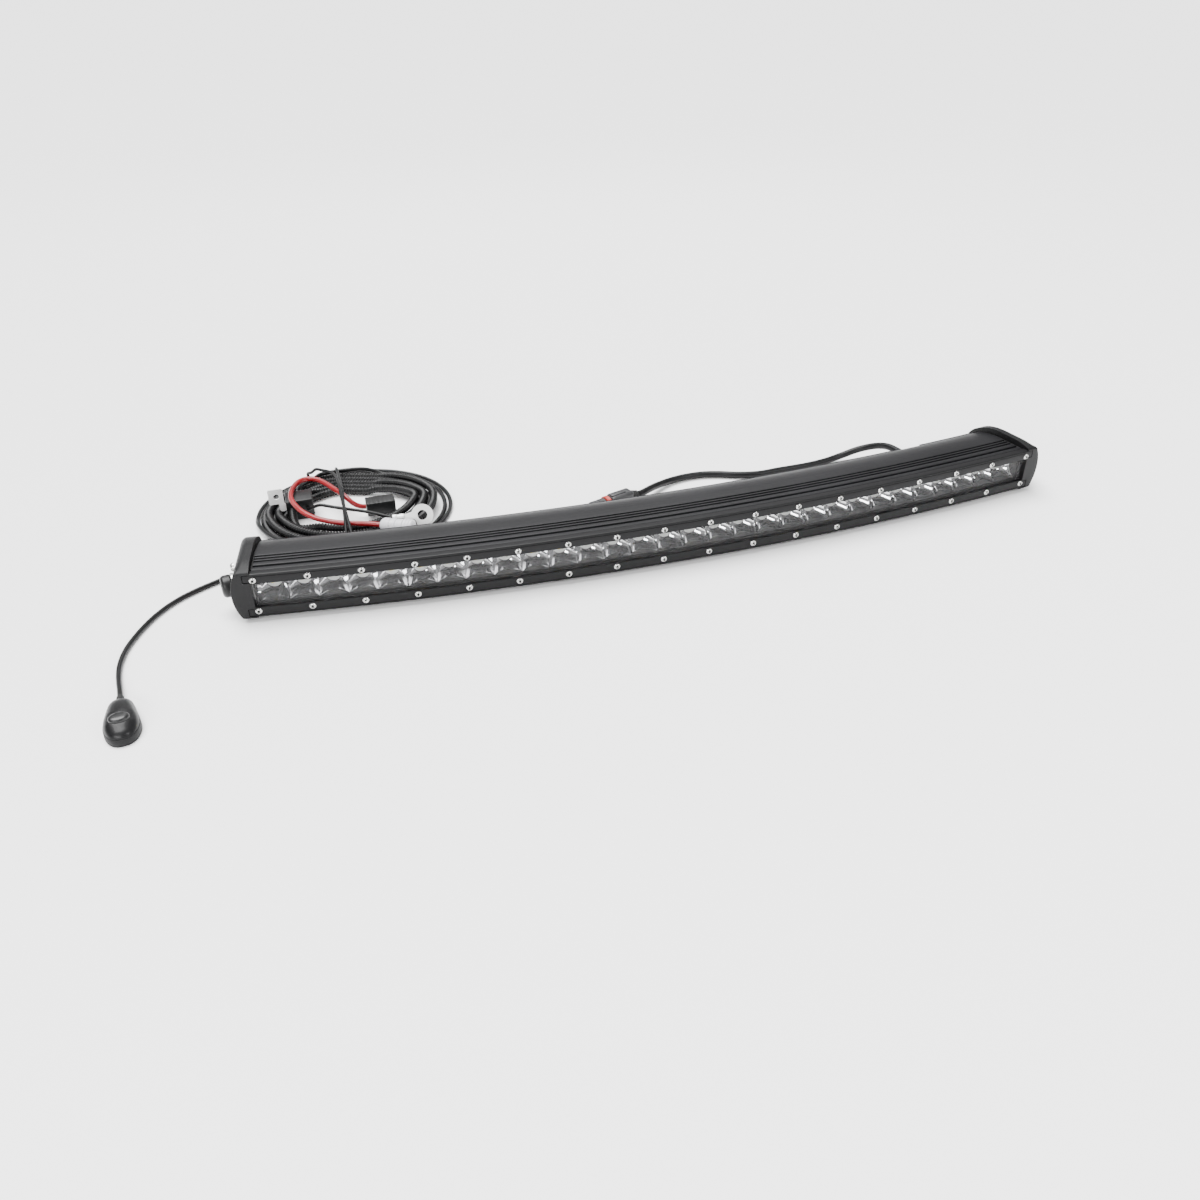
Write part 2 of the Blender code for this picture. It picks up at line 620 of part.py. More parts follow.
def make_connector():
    """The plug with its red seal and the harness's mating socket, lying on their sides."""
    start = on_floor(-0.0020, 0.1294, 0.0096)
    turn = (0, -math.pi / 2, PLUG_TURN)
    along = Vector((-math.cos(PLUG_TURN), -math.sin(PLUG_TURN), 0))
    boot = [(0, 0.0082), (0.0060, 0.0082), (0.0060, 0.0030), (0.0045, 0), (0, 0)]
    finish(turned("plug_boot", boot, start, turn, 18), "seal")
    shell = box("plug_shell", (0.0185, 0.0135, 0.0266))
    shell.location = start + along * (0.0085 + 0.0133)
    shell.rotation_euler = turn
    round_edges(shell, 0.003)
    finish(shell, "connector")
    seal = closed([(0.0040, 0.0048), (0.0092, 0.0048), (0.0092, 0), (0.0040, 0)])
    finish(turned("plug_seal", seal, start + along * 0.0354, turn, 20), "red_seal")
    socket = [(0, 0.0210), (0.0052, 0.0210), (0.0064, 0.0160), (0.0082, 0.0150), (0.0082, 0), (0, 0)]
    finish(turned("socket_shell", socket, start + along * 0.0405, turn, 20), "connector")


def make_harness():
    """The loom's lead behind the bar, and the coil it is wound into."""
    tube("harness_lead",
         route((-0.0616, 0.1099, 0.0096), (-0.0740, 0.1060, 0.0088), (-0.0900, 0.1028, 0.0062),
               (-0.1080, 0.1014, 0.0045), (-0.1260, 0.1006, 0.0043), (-0.1440, 0.1002, 0.0043),
               (-0.1620, 0.1005, 0.0043), (-0.1770, 0.1018, 0.0048), (-0.1900, 0.1058, 0.0064),
               (-0.1992, 0.1133, 0.0088), (-0.2070, 0.1222, 0.0101), (-0.2144, 0.1309, 0.0105)),
         LOOM_DIAMETER, "loom")
    outer = ellipse(COIL_CENTRE, COIL_OUTER, 40)
    opening = ellipse(COIL_OPENING_CENTRE, COIL_OPENING, 32, 4.0)
    height = COIL_HIGH - COIL_LOW
    place = (0, -MIDDLE_Y, COIL_LOW + height / 2)
    finish(flat_outline("harness_coil", [outer, opening], height, place), "loom")
    tube("coil_tie",
         route((-0.2840, 0.2952, 0.0060), (-0.2840, 0.2952, 0.0130), (-0.2841, 0.2950, 0.0190),
               (-0.2842, 0.2935, 0.0234), (-0.2843, 0.2890, 0.0252), (-0.2846, 0.2780, 0.0248),
               (-0.2850, 0.2600, 0.0242), (-0.2855, 0.2400, 0.0255), (-0.2860, 0.2150, 0.0290),
               (-0.2865, 0.1900, 0.0300), (-0.2875, 0.1650, 0.0310), (-0.2890, 0.1450, 0.0300),
               (-0.2900, 0.1280, 0.0270), (-0.2905, 0.1160, 0.0250), (-0.2908, 0.1092, 0.0248),
               (-0.2910, 0.1056, 0.0222), (-0.2912, 0.1048, 0.0170), (-0.2912, 0.1048, 0.0110),
               (-0.2912, 0.1048, 0.0060)),
         TIE_DIAMETER, "tie")


def make_relay():
    """The relay and its fixing tab, and the block that joins the loom to the power wire."""
    low = 0.0005
    high = 0.021
    size = (0.026, 0.024, high - low)
    body = finish(box("relay_body", size, on_floor(-0.327, 0.214, (low + high) / 2)), "relay")
    round_edges(body, 0.0012)
    outline = [(-0.0140, 0.0368), (0, 0.0368), (0, 0.0212), (0.0130, 0.0212), (0.0130, 0.0130),
               (-0.0050, 0.0130), (-0.0050, 0.0212), (-0.0140, 0.0212)]
    hole = ellipse((-0.0065, 0.0290), (0.0027, 0.0027), 16)
    tab = flat_outline("relay_tab", [outline, hole], 0.0012, on_floor(-0.3410, 0.2009, 0), (math.pi / 2, 0, 0))
    finish(tab, "plated_steel")
    block = finish(box("wire_block", (0.028, 0.016, 0.014), on_floor(-0.251, 0.186, 0.0115)), "relay")
    round_edges(block, 0.001)


def make_power_wiring():
    """The red wire to the fuse holder, and the black wire to the ring terminal."""
    tube("power_wire",
         route((-0.2655, 0.1865, 0.0120), (-0.2710, 0.1865, 0.0121), (-0.2770, 0.1882, 0.0128),
               (-0.2840, 0.1950, 0.0152),
               (-0.2915, 0.2060, 0.0190), (-0.3010, 0.2220, 0.0225), (-0.3100, 0.2350, 0.0240),
               (-0.3190, 0.2410, 0.0245), (-0.3280, 0.2385, 0.0246), (-0.3345, 0.2300, 0.0247),
               (-0.3375, 0.2170, 0.0247), (-0.3370, 0.2030, 0.0246), (-0.3340, 0.1880, 0.0243),
               (-0.3280, 0.1720, 0.0240), (-0.3180, 0.1570, 0.0239), (-0.3060, 0.1465, 0.0239),
               (-0.2920, 0.1400, 0.0239), (-0.2790, 0.1365, 0.0244), (-0.2690, 0.1325, 0.0260),
               (-0.2605, 0.1268, 0.0272)),
         POWER_WIRE_DIAMETER, "red_wire", 2)
    start = on_floor(-0.2600, 0.1264, 0.0272)
    heading = on_floor(-0.2300, 0.1050, 0.0272) - start
    heading.normalize()
    turn = Vector((0, 0, 1)).rotation_difference(heading).to_euler()
    body = [(0, 0.0230), (0.0060, 0.0230), (0.0060, 0.0020), (0.0035, 0), (0, 0)]
    cap = [(0, 0.0105), (0.0040, 0.0105), (0.0063, 0.0090), (0.0063, 0), (0, 0)]
    finish(turned("fuse_holder", body, start, turn, 18), "fuse_holder")
    finish(turned("fuse_cap", cap, start + heading * 0.0233, turn, 18), "fuse_holder")
    tube("ground_wire",
         route((-0.3198, 0.2016, 0.0120), (-0.3196, 0.1950, 0.0126), (-0.3165, 0.1860, 0.0160),
               (-0.3105, 0.1755, 0.0210), (-0.3030, 0.1660, 0.0240), (-0.2940, 0.1585, 0.0248),
               (-0.2840, 0.1525, 0.0258), (-0.2740, 0.1460, 0.0285), (-0.2640, 0.1390, 0.0298),
               (-0.2545, 0.1320, 0.0285), (-0.2465, 0.1270, 0.0268)),
         GROUND_WIRE_DIAMETER, "cable")
    make_ring_terminal()


def make_ring_terminal():
    """A crimped ring terminal leaning on the coil, its barrel towards the black wire."""
    facing = Vector((-0.10, -0.88, 0.46)).normalized()
    barrel_axis = Vector((-1, 0.10, 0)).normalized()
    up = facing.cross(barrel_axis)
    middle = on_floor(-0.2186, 0.1230, 0.0262)
    outline = []
    for index in range(25):
        angle = math.radians(22) + math.radians(316) * index / 24
        outline.append((-0.0105 * math.cos(angle), 0.0105 * math.sin(angle)))
    outline += [(-0.0150, -0.0022), (-0.0270, -0.0022), (-0.0270, 0.0022), (-0.0150, 0.0022)]
    hole = ellipse((0, 0), (0.0042, 0.0042), 18)
    terminal = flat_outline("ring_terminal", [outline, hole], 0.0016, middle)
    side = -barrel_axis
    terminal.rotation_euler = frame_euler(side, facing.cross(side), facing)
    finish(terminal, "plated_steel")


def frame_euler(x_axis, y_axis, z_axis):
    """Euler angles of a frame given by its three axes."""
    return Matrix((x_axis, y_axis, z_axis)).transposed().to_euler()


def make_switch_lead():
    tube("switch_lead",
         route((-0.3451, 0.1350, 0.0080), (-0.3486, 0.1315, 0.0062), (-0.3540, 0.1270, 0.0036),
               (-0.3640, 0.1215, 0.0023), (-0.3770, 0.1160, 0.0023), (-0.3910, 0.1100, 0.0023),
               (-0.4060, 0.1030, 0.0023),
               (-0.4165, 0.0975, 0.0023), (-0.4275, 0.0910, 0.0023), (-0.4380, 0.0835, 0.0023),
               (-0.4480, 0.0740, 0.0023), (-0.4560, 0.0640, 0.0023), (-0.4620, 0.0550, 0.0023),
               (-0.4685, 0.0430, 0.0023), (-0.4735, 0.0320, 0.0023), (-0.4780, 0.0200, 0.0023),
               (-0.4813, 0.0065, 0.0023), (-0.4829, -0.0075, 0.0023), (-0.4829, -0.0200, 0.0025),
               (-0.4821, -0.0310, 0.0034), (-0.4811, -0.0410, 0.0046), (-0.4806, -0.0466, 0.0050)),
         SWITCH_LEAD_DIAMETER, "cable")


def pod_form(name, length, width, height, foot):
    """A drop-shaped dome on a flat foot, narrow where the lead comes in."""
    bm = bmesh.new()
    bmesh.ops.create_uvsphere(bm, u_segments=24, v_segments=12, radius=1.0)
    for vert in bm.verts:
        x, y, z = vert.co
        taper = 1.0 - 0.24 * y - 0.16 * max(y, 0) ** 2
        lift = math.copysign(abs(z) ** 0.62, z)
        vert.co = (x * width / 2 * taper, y * length / 2, lift * height * (1 - 0.12 * y))
    plane = bmesh.ops.bisect_plane(bm, geom=bm.verts[:] + bm.edges[:] + bm.faces[:],
                                   plane_co=(0, 0, foot), plane_no=(0, 0, 1), clear_inner=True)
    rim = [item for item in plane["geom_cut"] if isinstance(item, bmesh.types.BMEdge)]
    bmesh.ops.edgeloop_fill(bm, edges=rim)
    return new_object(name, bm)


def make_switch():
    """The pod on the end of the switch lead, with its sprung push button."""
    pod = bpy.data.objects.new("switch_pod", None)
    pod.location = on_floor(POD_PLACE[0], POD_PLACE[1], 0)
    pod.rotation_euler = (0, 0, POD_TURN)
    parts.objects.link(pod)
    shell = finish(pod_form("switch_shell", POD_LENGTH, POD_WIDTH, POD_HEIGHT, 0.0004), "switch_shell", pod)
    inside = pod_form("cut_pod_inside", POD_LENGTH - 2 * POD_WALL, POD_WIDTH - 2 * POD_WALL,
                      POD_HEIGHT - POD_WALL, -0.004)
    inside.parent = pod
    combine(shell, as_cutter(inside))
    mouth = cylinder("cut_pod_mouth", 1.0, 0.02, (0, BUTTON_Y, POD_HEIGHT), segments=28)
    mouth.data.transform(scale_matrix(0.0078, 0.0061, 1.0))
    mouth.parent = pod
    combine(shell, as_cutter(mouth))
    base = pod_form("switch_base", POD_LENGTH - 2 * POD_WALL - 0.0012, POD_WIDTH - 2 * POD_WALL - 0.0012,
                    POD_HEIGHT - POD_WALL - 0.0006, 0.0004)
    top = box("cut_base_top", (0.1, 0.1, 0.05), (0, 0, 0.0024 + 0.025))
    top.parent = pod
    combine(base, as_cutter(top))
    finish(base, "switch_shell", pod)
    board = finish(box("switch_board", (0.016, 0.020, 0.0012), (0, BUTTON_Y + 0.002, 0.0034)),
                   "switch_board", pod)
    finish(board, "switch_board", pod)
    profile = [(0, 0.0166), (0.0045, 0.0163), (0.0066, 0.0154), (0.0074, 0.0142), (0.0074, 0.0096),
               (0.0086, 0.0096), (0.0086, 0.0086), (0, 0.0086)]
    button = turned("switch_button", profile, (0, BUTTON_Y, 0), segments=24)
    finish(button, "switch_button", pod)
    squash_button(button)
    make_spring(pod)
    relief = [(0, 0.0088), (0.0024, 0.0088), (0.0034, 0.0010), (0.0034, 0), (0, 0)]
    tip = POD_LENGTH / 2 + GAP
    finish(turned("switch_strain_relief", relief, (0, tip, 0.005), (-math.pi / 2, 0, 0), 16), "seal", pod)


def scale_matrix(x, y, z):
    return Matrix.Diagonal((x, y, z, 1.0))


def squash_button(button):
    """Make the turned button oval: wider across the pod than along it."""
    mesh = baked_copy(button)
    mesh.transform(scale_matrix(1.0, 0.76, 1.0))
    button.modifiers.clear()
    button.data = mesh


def baked_copy(obj):
    bpy.context.view_layer.update()
    evaluated = obj.evaluated_get(bpy.context.evaluated_depsgraph_get())
    return bpy.data.meshes.new_from_object(evaluated)


def make_spring(pod):
    """A coil spring between the board and the button."""
    turns = 3
    per_turn = 10
    low = 0.0046
    high = 0.0080
    curve = bpy.data.curves.new("switch_spring", "CURVE")
    curve.dimensions = "3D"
    curve.bevel_depth = 0.0003
    curve.bevel_resolution = 1
    curve.use_fill_caps = True
    spline = curve.splines.new("POLY")
    count = turns * per_turn + 1
    spline.points.add(count - 1)
    for index, point in enumerate(spline.points):
        angle = math.tau * index / per_turn
        height = low + (high - low) * index / (count - 1)
        point.co = (0.003 * math.cos(angle), 0.003 * math.sin(angle), height, 1.0)
    spring = bpy.data.objects.new("switch_spring", curve)
    spring.location = (0, BUTTON_Y, 0)
    parts.objects.link(spring)
    finish(spring, "plated_steel", pod)


make_housing()
make_bezels()
make_lens()
make_modules()
make_end(-1, "left")
make_end(1, "right")
make_gland()
make_pigtail()
make_connector()
make_harness()
make_relay()
make_power_wiring()
make_switch_lead()
make_switch()
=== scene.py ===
import json
import math

import bmesh
import bpy
from mathutils import Matrix, Vector

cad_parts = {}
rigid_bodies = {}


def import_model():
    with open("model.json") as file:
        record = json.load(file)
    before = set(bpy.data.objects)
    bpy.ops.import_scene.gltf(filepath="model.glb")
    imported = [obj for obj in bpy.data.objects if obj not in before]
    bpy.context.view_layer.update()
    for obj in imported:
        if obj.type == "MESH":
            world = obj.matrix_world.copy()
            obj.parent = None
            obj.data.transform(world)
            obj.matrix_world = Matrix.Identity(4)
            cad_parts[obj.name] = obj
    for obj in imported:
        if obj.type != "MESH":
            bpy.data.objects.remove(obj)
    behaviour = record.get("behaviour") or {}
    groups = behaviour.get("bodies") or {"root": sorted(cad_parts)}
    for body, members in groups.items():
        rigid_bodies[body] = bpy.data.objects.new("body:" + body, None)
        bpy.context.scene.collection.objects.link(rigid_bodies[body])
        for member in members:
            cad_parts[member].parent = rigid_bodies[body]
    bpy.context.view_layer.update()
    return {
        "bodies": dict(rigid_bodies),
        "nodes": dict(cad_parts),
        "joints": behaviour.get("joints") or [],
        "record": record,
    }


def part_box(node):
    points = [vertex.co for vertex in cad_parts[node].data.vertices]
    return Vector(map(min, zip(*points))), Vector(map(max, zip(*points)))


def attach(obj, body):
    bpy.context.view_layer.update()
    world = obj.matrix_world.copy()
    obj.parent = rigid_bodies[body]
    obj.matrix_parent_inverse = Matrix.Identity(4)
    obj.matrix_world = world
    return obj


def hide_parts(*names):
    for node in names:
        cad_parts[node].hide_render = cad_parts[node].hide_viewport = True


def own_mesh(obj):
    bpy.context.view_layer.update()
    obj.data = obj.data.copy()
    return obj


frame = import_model()
print("frame loaded:", len(frame["nodes"]), "nodes")

bar = {
    "arcRadius": 2.603,
    "cellPitch": 0.025,
    "cells": 30,
    "cellsPerModule": 5,
    "halfHeight": 0.0207,
    "floor": 0.0255,            # the floor lies this far under the middle of the section
    "capDepth": 0.084,
    "screwHead": 0.0019,
    "capReach": 0.3947,
    "stations": 108,
    "glandAlong": 0.290,        # where the cord leaves the back; the vent plug is at the other end
}
rearY = bar["arcRadius"] - (bar["arcRadius"] - bar["capDepth"]) * math.cos(bar["capReach"] / bar["arcRadius"])
middleY = (rearY - bar["screwHead"]) / 2
lensLength = bar["cellPitch"] * bar["cells"]


def onBar(along, depth, height):
    angle = along / bar["arcRadius"]
    reach = bar["arcRadius"] - depth
    return Vector((reach * math.sin(angle),
                   bar["arcRadius"] - reach * math.cos(angle) - middleY,
                   height + bar["floor"]))


def onFloor(x, y, height):
    return Vector((x, y - middleY, height))


# camera, floor and light
view = {
    "place": (-0.31849, -0.75738, 0.48858),
    "target": (-0.10433, -0.06908, 0.0255),
    "roll": -0.630,
    "lens": 31.33,
    "floorColour": (0.97, 0.97, 0.972, 1.0),
    "floorSize": 160.0,
    "worldStrength": 0.40,
    "sunStrength": 9.0,
}


def makeCamera():
    place = onFloor(*view["place"])
    back = (place - onFloor(*view["target"])).normalized()
    level = (-back).cross(Vector((0, 0, 1))).normalized()
    upright = level.cross(-back)
    roll = math.radians(view["roll"])
    right = level * math.cos(roll) + upright * math.sin(roll)
    up = upright * math.cos(roll) - level * math.sin(roll)
    data = bpy.data.cameras.new("camera")
    data.lens = view["lens"]
    data.sensor_width = 36
    data.clip_start = 0.01
    camera = bpy.data.objects.new("camera", data)
    camera.matrix_world = Matrix.Translation(place) @ Matrix((right, up, back)).transposed().to_4x4()
    bpy.context.scene.collection.objects.link(camera)
    bpy.context.scene.camera = camera


def areaLight(name, place, target, size, power):
    data = bpy.data.lights.new(name, "AREA")
    data.shape = "RECTANGLE"
    data.size, data.size_y = size
    data.energy = power
    light = bpy.data.objects.new(name, data)
    light.location = place
    light.rotation_euler = (Vector(target) - Vector(place)).to_track_quat("-Z", "Y").to_euler()
    bpy.context.scene.collection.objects.link(light)


def makeStage():
    bm = bmesh.new()
    bmesh.ops.create_grid(bm, x_segments=1, y_segments=1, size=view["floorSize"] / 2)
    mesh = bpy.data.meshes.new("floor")
    bm.to_mesh(mesh)
    bm.free()
    floor = bpy.data.objects.new("floor", mesh)
    floor.location.z = -0.0002
    bpy.context.scene.collection.objects.link(floor)
    material = bpy.data.materials.new("palePaper")
    material.use_nodes = True
    shader = material.node_tree.nodes["Principled BSDF"]
    shader.inputs["Base Color"].default_value = view["floorColour"]
    shader.inputs["Roughness"].default_value = 0.9
    shader.inputs["Specular IOR Level"].default_value = 0.1
    mesh.materials.append(material)
    world = bpy.data.worlds.new("softbox")
    world.use_nodes = True
    world.node_tree.nodes["Background"].inputs["Color"].default_value = (1.0, 1.0, 1.0, 1.0)
    world.node_tree.nodes["Background"].inputs["Strength"].default_value = view["worldStrength"]
    bpy.context.scene.world = world
    overhead = bpy.data.lights.new("overhead", "SUN")
    overhead.energy = view["sunStrength"]
    overhead.angle = math.radians(50)
    overhead.specular_factor = 0.3
    sun = bpy.data.objects.new("overhead", overhead)
    sun.rotation_euler = (math.radians(-14), math.radians(-10), 0)
    bpy.context.scene.collection.objects.link(sun)
    areaLight("front", (-1.2, -1.5, 0.9), (-0.1, 0.0, 0.03), (1.3, 0.35), 30)
    areaLight("frontRight", (1.0, -1.3, 1.2), (0.1, 0.0, 0.03), (0.7, 0.3), 18)
    areaLight("rear", (0.2, 1.5, 1.1), (0.0, 0.1, 0.03), (1.6, 0.35), 7)


makeCamera()
makeStage()
print("camera, floor and light made")


# materials
class Socket:
    # a node's output that sums and products can be written with

    def __init__(self, tree, socket):
        self.tree = tree
        self.socket = socket

    def maths(self, operation, first, second):
        node = self.tree.nodes.new("ShaderNodeMath")
        node.operation = operation
        for place, value in enumerate((first, second)):
            if isinstance(value, Socket):
                self.tree.links.new(value.socket, node.inputs[place])
            else:
                node.inputs[place].default_value = value
        return Socket(self.tree, node.outputs[0])

    def __add__(self, other):
        return self.maths("ADD", self, other)

    def __radd__(self, other):
        return self.maths("ADD", other, self)

    def __sub__(self, other):
        return self.maths("SUBTRACT", self, other)

    def __rsub__(self, other):
        return self.maths("SUBTRACT", other, self)

    def __mul__(self, other):
        return self.maths("MULTIPLY", self, other)

    def __rmul__(self, other):
        return self.maths("MULTIPLY", other, self)

    def __pow__(self, other):
        return self.maths("POWER", self, other)


class Finish:
    # a material whose Principled shader takes numbers, colours and Sockets

    def __init__(self, name, **constants):
        self.material = bpy.data.materials.new(name)
        self.material.use_nodes = True
        self.tree = self.material.node_tree
        self.shader = self.tree.nodes["Principled BSDF"]
        self.start = Socket(self.tree, None)
        for socketName, value in constants.items():
            self.feed(socketName, value)

    def feed(self, socketName, value):
        names = {"colour": "Base Color", "roughness": "Roughness", "metallic": "Metallic",
                 "normal": "Normal", "alpha": "Alpha", "coat": "Coat Weight", "ior": "IOR",
                 "transmission": "Transmission Weight", "specular": "Specular IOR Level"}
        self.plug(self.shader.inputs[names[socketName]], value)

    def plug(self, target, value):
        if isinstance(value, Socket):
            self.tree.links.new(value.socket, target)
        elif isinstance(value, tuple) and len(value) == 3 and target.type == "RGBA":
            target.default_value = (*value, 1.0)
        else:
            target.default_value = value

    def node(self, kind, settings=None, inputs=None, output=0):
        node = self.tree.nodes.new(kind)
        for key, value in (settings or {}).items():
            setattr(node, key, value)
        for key, value in (inputs or {}).items():
            self.plug(node.inputs[key], value)
        return Socket(self.tree, node.outputs[output])

    def coordinates(self, stretch=(1, 1, 1)):
        place = self.node("ShaderNodeTexCoord", output=3)
        return self.node("ShaderNodeMapping", inputs={"Vector": place, "Scale": stretch})

    def barCoordinates(self, stretch):
        # along the arc, behind the front face, up: so that a grain runs true along the curved bar
        place = self.node("ShaderNodeTexCoord", output=3)
        split = self.tree.nodes.new("ShaderNodeSeparateXYZ")
        self.tree.links.new(place.socket, split.inputs[0])
        x, y, z = (Socket(self.tree, output) for output in split.outputs)
        back = (bar["arcRadius"] - middleY) - y
        angle = self.start.maths("ARCTAN2", x, back)
        depth = bar["arcRadius"] - (x * x + back * back) ** 0.5
        return self.node("ShaderNodeCombineXYZ", inputs={"X": angle * (bar["arcRadius"] * stretch[0]),
                                                        "Y": depth * stretch[1], "Z": z * stretch[2]})

    def noise(self, vector, scale, detail=2.0, roughness=0.5):
        return self.node("ShaderNodeTexNoise", inputs={"Vector": vector, "Scale": scale, "Detail": detail,
                                                       "Roughness": roughness})

    def mixed(self, factor, low, high):
        return self.node("ShaderNodeMix", {"data_type": "RGBA"}, {0: factor, 6: low, 7: high}, output=2)

    def ramp(self, value, low, high):
        return self.node("ShaderNodeMapRange", inputs={"Value": value, "From Min": low, "From Max": high})

    def bump(self, height, distance):
        return self.node("ShaderNodeBump", inputs={"Height": height, "Distance": distance, "Strength": 1.0})


def grainy(name, dark, light, roughness, metallic=0.0, grain=900.0, depth=0.00004, **constants):
    # a plain moulded or painted surface: cloudy colour, fine grain, uneven gloss
    finish = Finish(name, metallic=metallic, **constants)
    place = finish.coordinates()
    cloud = finish.ramp(finish.noise(place, 45.0, 3.0), 0.3, 0.7)
    fine = finish.noise(place, grain, 3.0, 0.6)
    finish.feed("colour", finish.mixed(cloud, dark, light))
    finish.feed("roughness", roughness + (cloud - 0.5) * 0.08 + (fine - 0.5) * 0.12)
    finish.feed("normal", finish.bump(fine, depth))
    return finish.material


def housingFinish():
    # anodised extrusion: drawn lines along the bar over a soft cloud
    finish = Finish("anodisedHousing", metallic=0.4, specular=0.3)
    lines = finish.noise(finish.barCoordinates((2.0, 900.0, 900.0)), 1.0, 3.0, 0.6)
    cloud = finish.ramp(finish.noise(finish.barCoordinates((1.0, 1.0, 1.0)), 14.0, 3.0), 0.3, 0.7)
    fine = finish.noise(finish.coordinates(), 1500.0, 2.0)
    finish.feed("colour", finish.mixed(cloud, (0.008, 0.008, 0.009), (0.012, 0.012, 0.0135)))
    finish.feed("roughness", 0.44 + (lines - 0.5) * 0.22 + (cloud - 0.5) * 0.06)
    finish.feed("normal", finish.bump(lines * 0.7 + fine * 0.3, 0.00003))
    return finish.material


def bezelFinish():
    finish = Finish("bezelPaint", metallic=0.1, specular=0.2)
    lines = finish.noise(finish.barCoordinates((2.0, 600.0, 600.0)), 1.0, 3.0, 0.6)
    fine = finish.noise(finish.coordinates(), 1300.0, 2.0)
    finish.feed("colour", finish.mixed(lines, (0.004, 0.004, 0.0045), (0.008, 0.008, 0.0085)))
    finish.feed("roughness", 0.46 + (lines - 0.5) * 0.2)
    finish.feed("normal", finish.bump(lines * 0.5 + fine * 0.5, 0.00003))
    return finish.material


def chromeFinish():
    # metallised plastic: nearly a mirror, with a faint ripple from the mould
    finish = Finish("metallisedReflector", metallic=1.0)
    place = finish.coordinates()
    ripple = finish.noise(place, 90.0, 1.0)
    cloud = finish.ramp(finish.noise(place, 60.0, 2.0), 0.3, 0.7)
    finish.feed("colour", finish.mixed(cloud, (0.70, 0.70, 0.715), (0.80, 0.80, 0.81)))
    finish.feed("roughness", 0.05 + cloud * 0.04)
    finish.feed("normal", finish.bump(ripple, 0.00002))
    return finish.material


def lensFinish():
    # a thin clear sheet, seen straight through
    finish = Finish("clearLens", colour=(0.30, 0.30, 0.305), specular=0.5)
    haze = finish.noise(finish.coordinates(), 120.0, 3.0)
    finish.feed("roughness", 0.03 + haze * 0.03)
    finish.feed("alpha", 0.06 + haze * 0.03)
    return finish.material


def metalFinish(name, colour, roughness, scale=700.0):
    finish = Finish(name, metallic=1.0)
    scuff = finish.noise(finish.coordinates(), scale, 4.0, 0.7)
    dark = tuple(0.8 * part for part in colour)
    finish.feed("colour", finish.mixed(scuff, dark, colour))
    finish.feed("roughness", roughness + (scuff - 0.5) * 0.25)
    finish.feed("normal", finish.bump(scuff, 0.00002))
    return finish.material


def phosphorFinish():
    finish = Finish("lampPhosphor", roughness=0.35, coat=0.6)
    speck = finish.noise(finish.coordinates(), 2200.0, 2.0)
    finish.feed("colour", finish.mixed(speck, (0.82, 0.62, 0.08), (0.90, 0.76, 0.22)))
    return finish.material


def boardFinish():
    finish = Finish("whiteBoard", coat=0.3)
    cloud = finish.noise(finish.coordinates(), 300.0, 3.0)
    finish.feed("colour", finish.mixed(cloud, (0.74, 0.75, 0.72), (0.84, 0.85, 0.82)))
    finish.feed("roughness", 0.38 + cloud * 0.15)
    return finish.material


def fuseFinish():
    finish = Finish("fuseClear", transmission=0.30, ior=1.35)
    cloud = finish.noise(finish.coordinates(), 90.0, 2.0)
    finish.feed("colour", finish.mixed(cloud, (0.76, 0.76, 0.79), (0.88, 0.88, 0.90)))
    finish.feed("roughness", 0.22 + cloud * 0.08)
    return finish.material


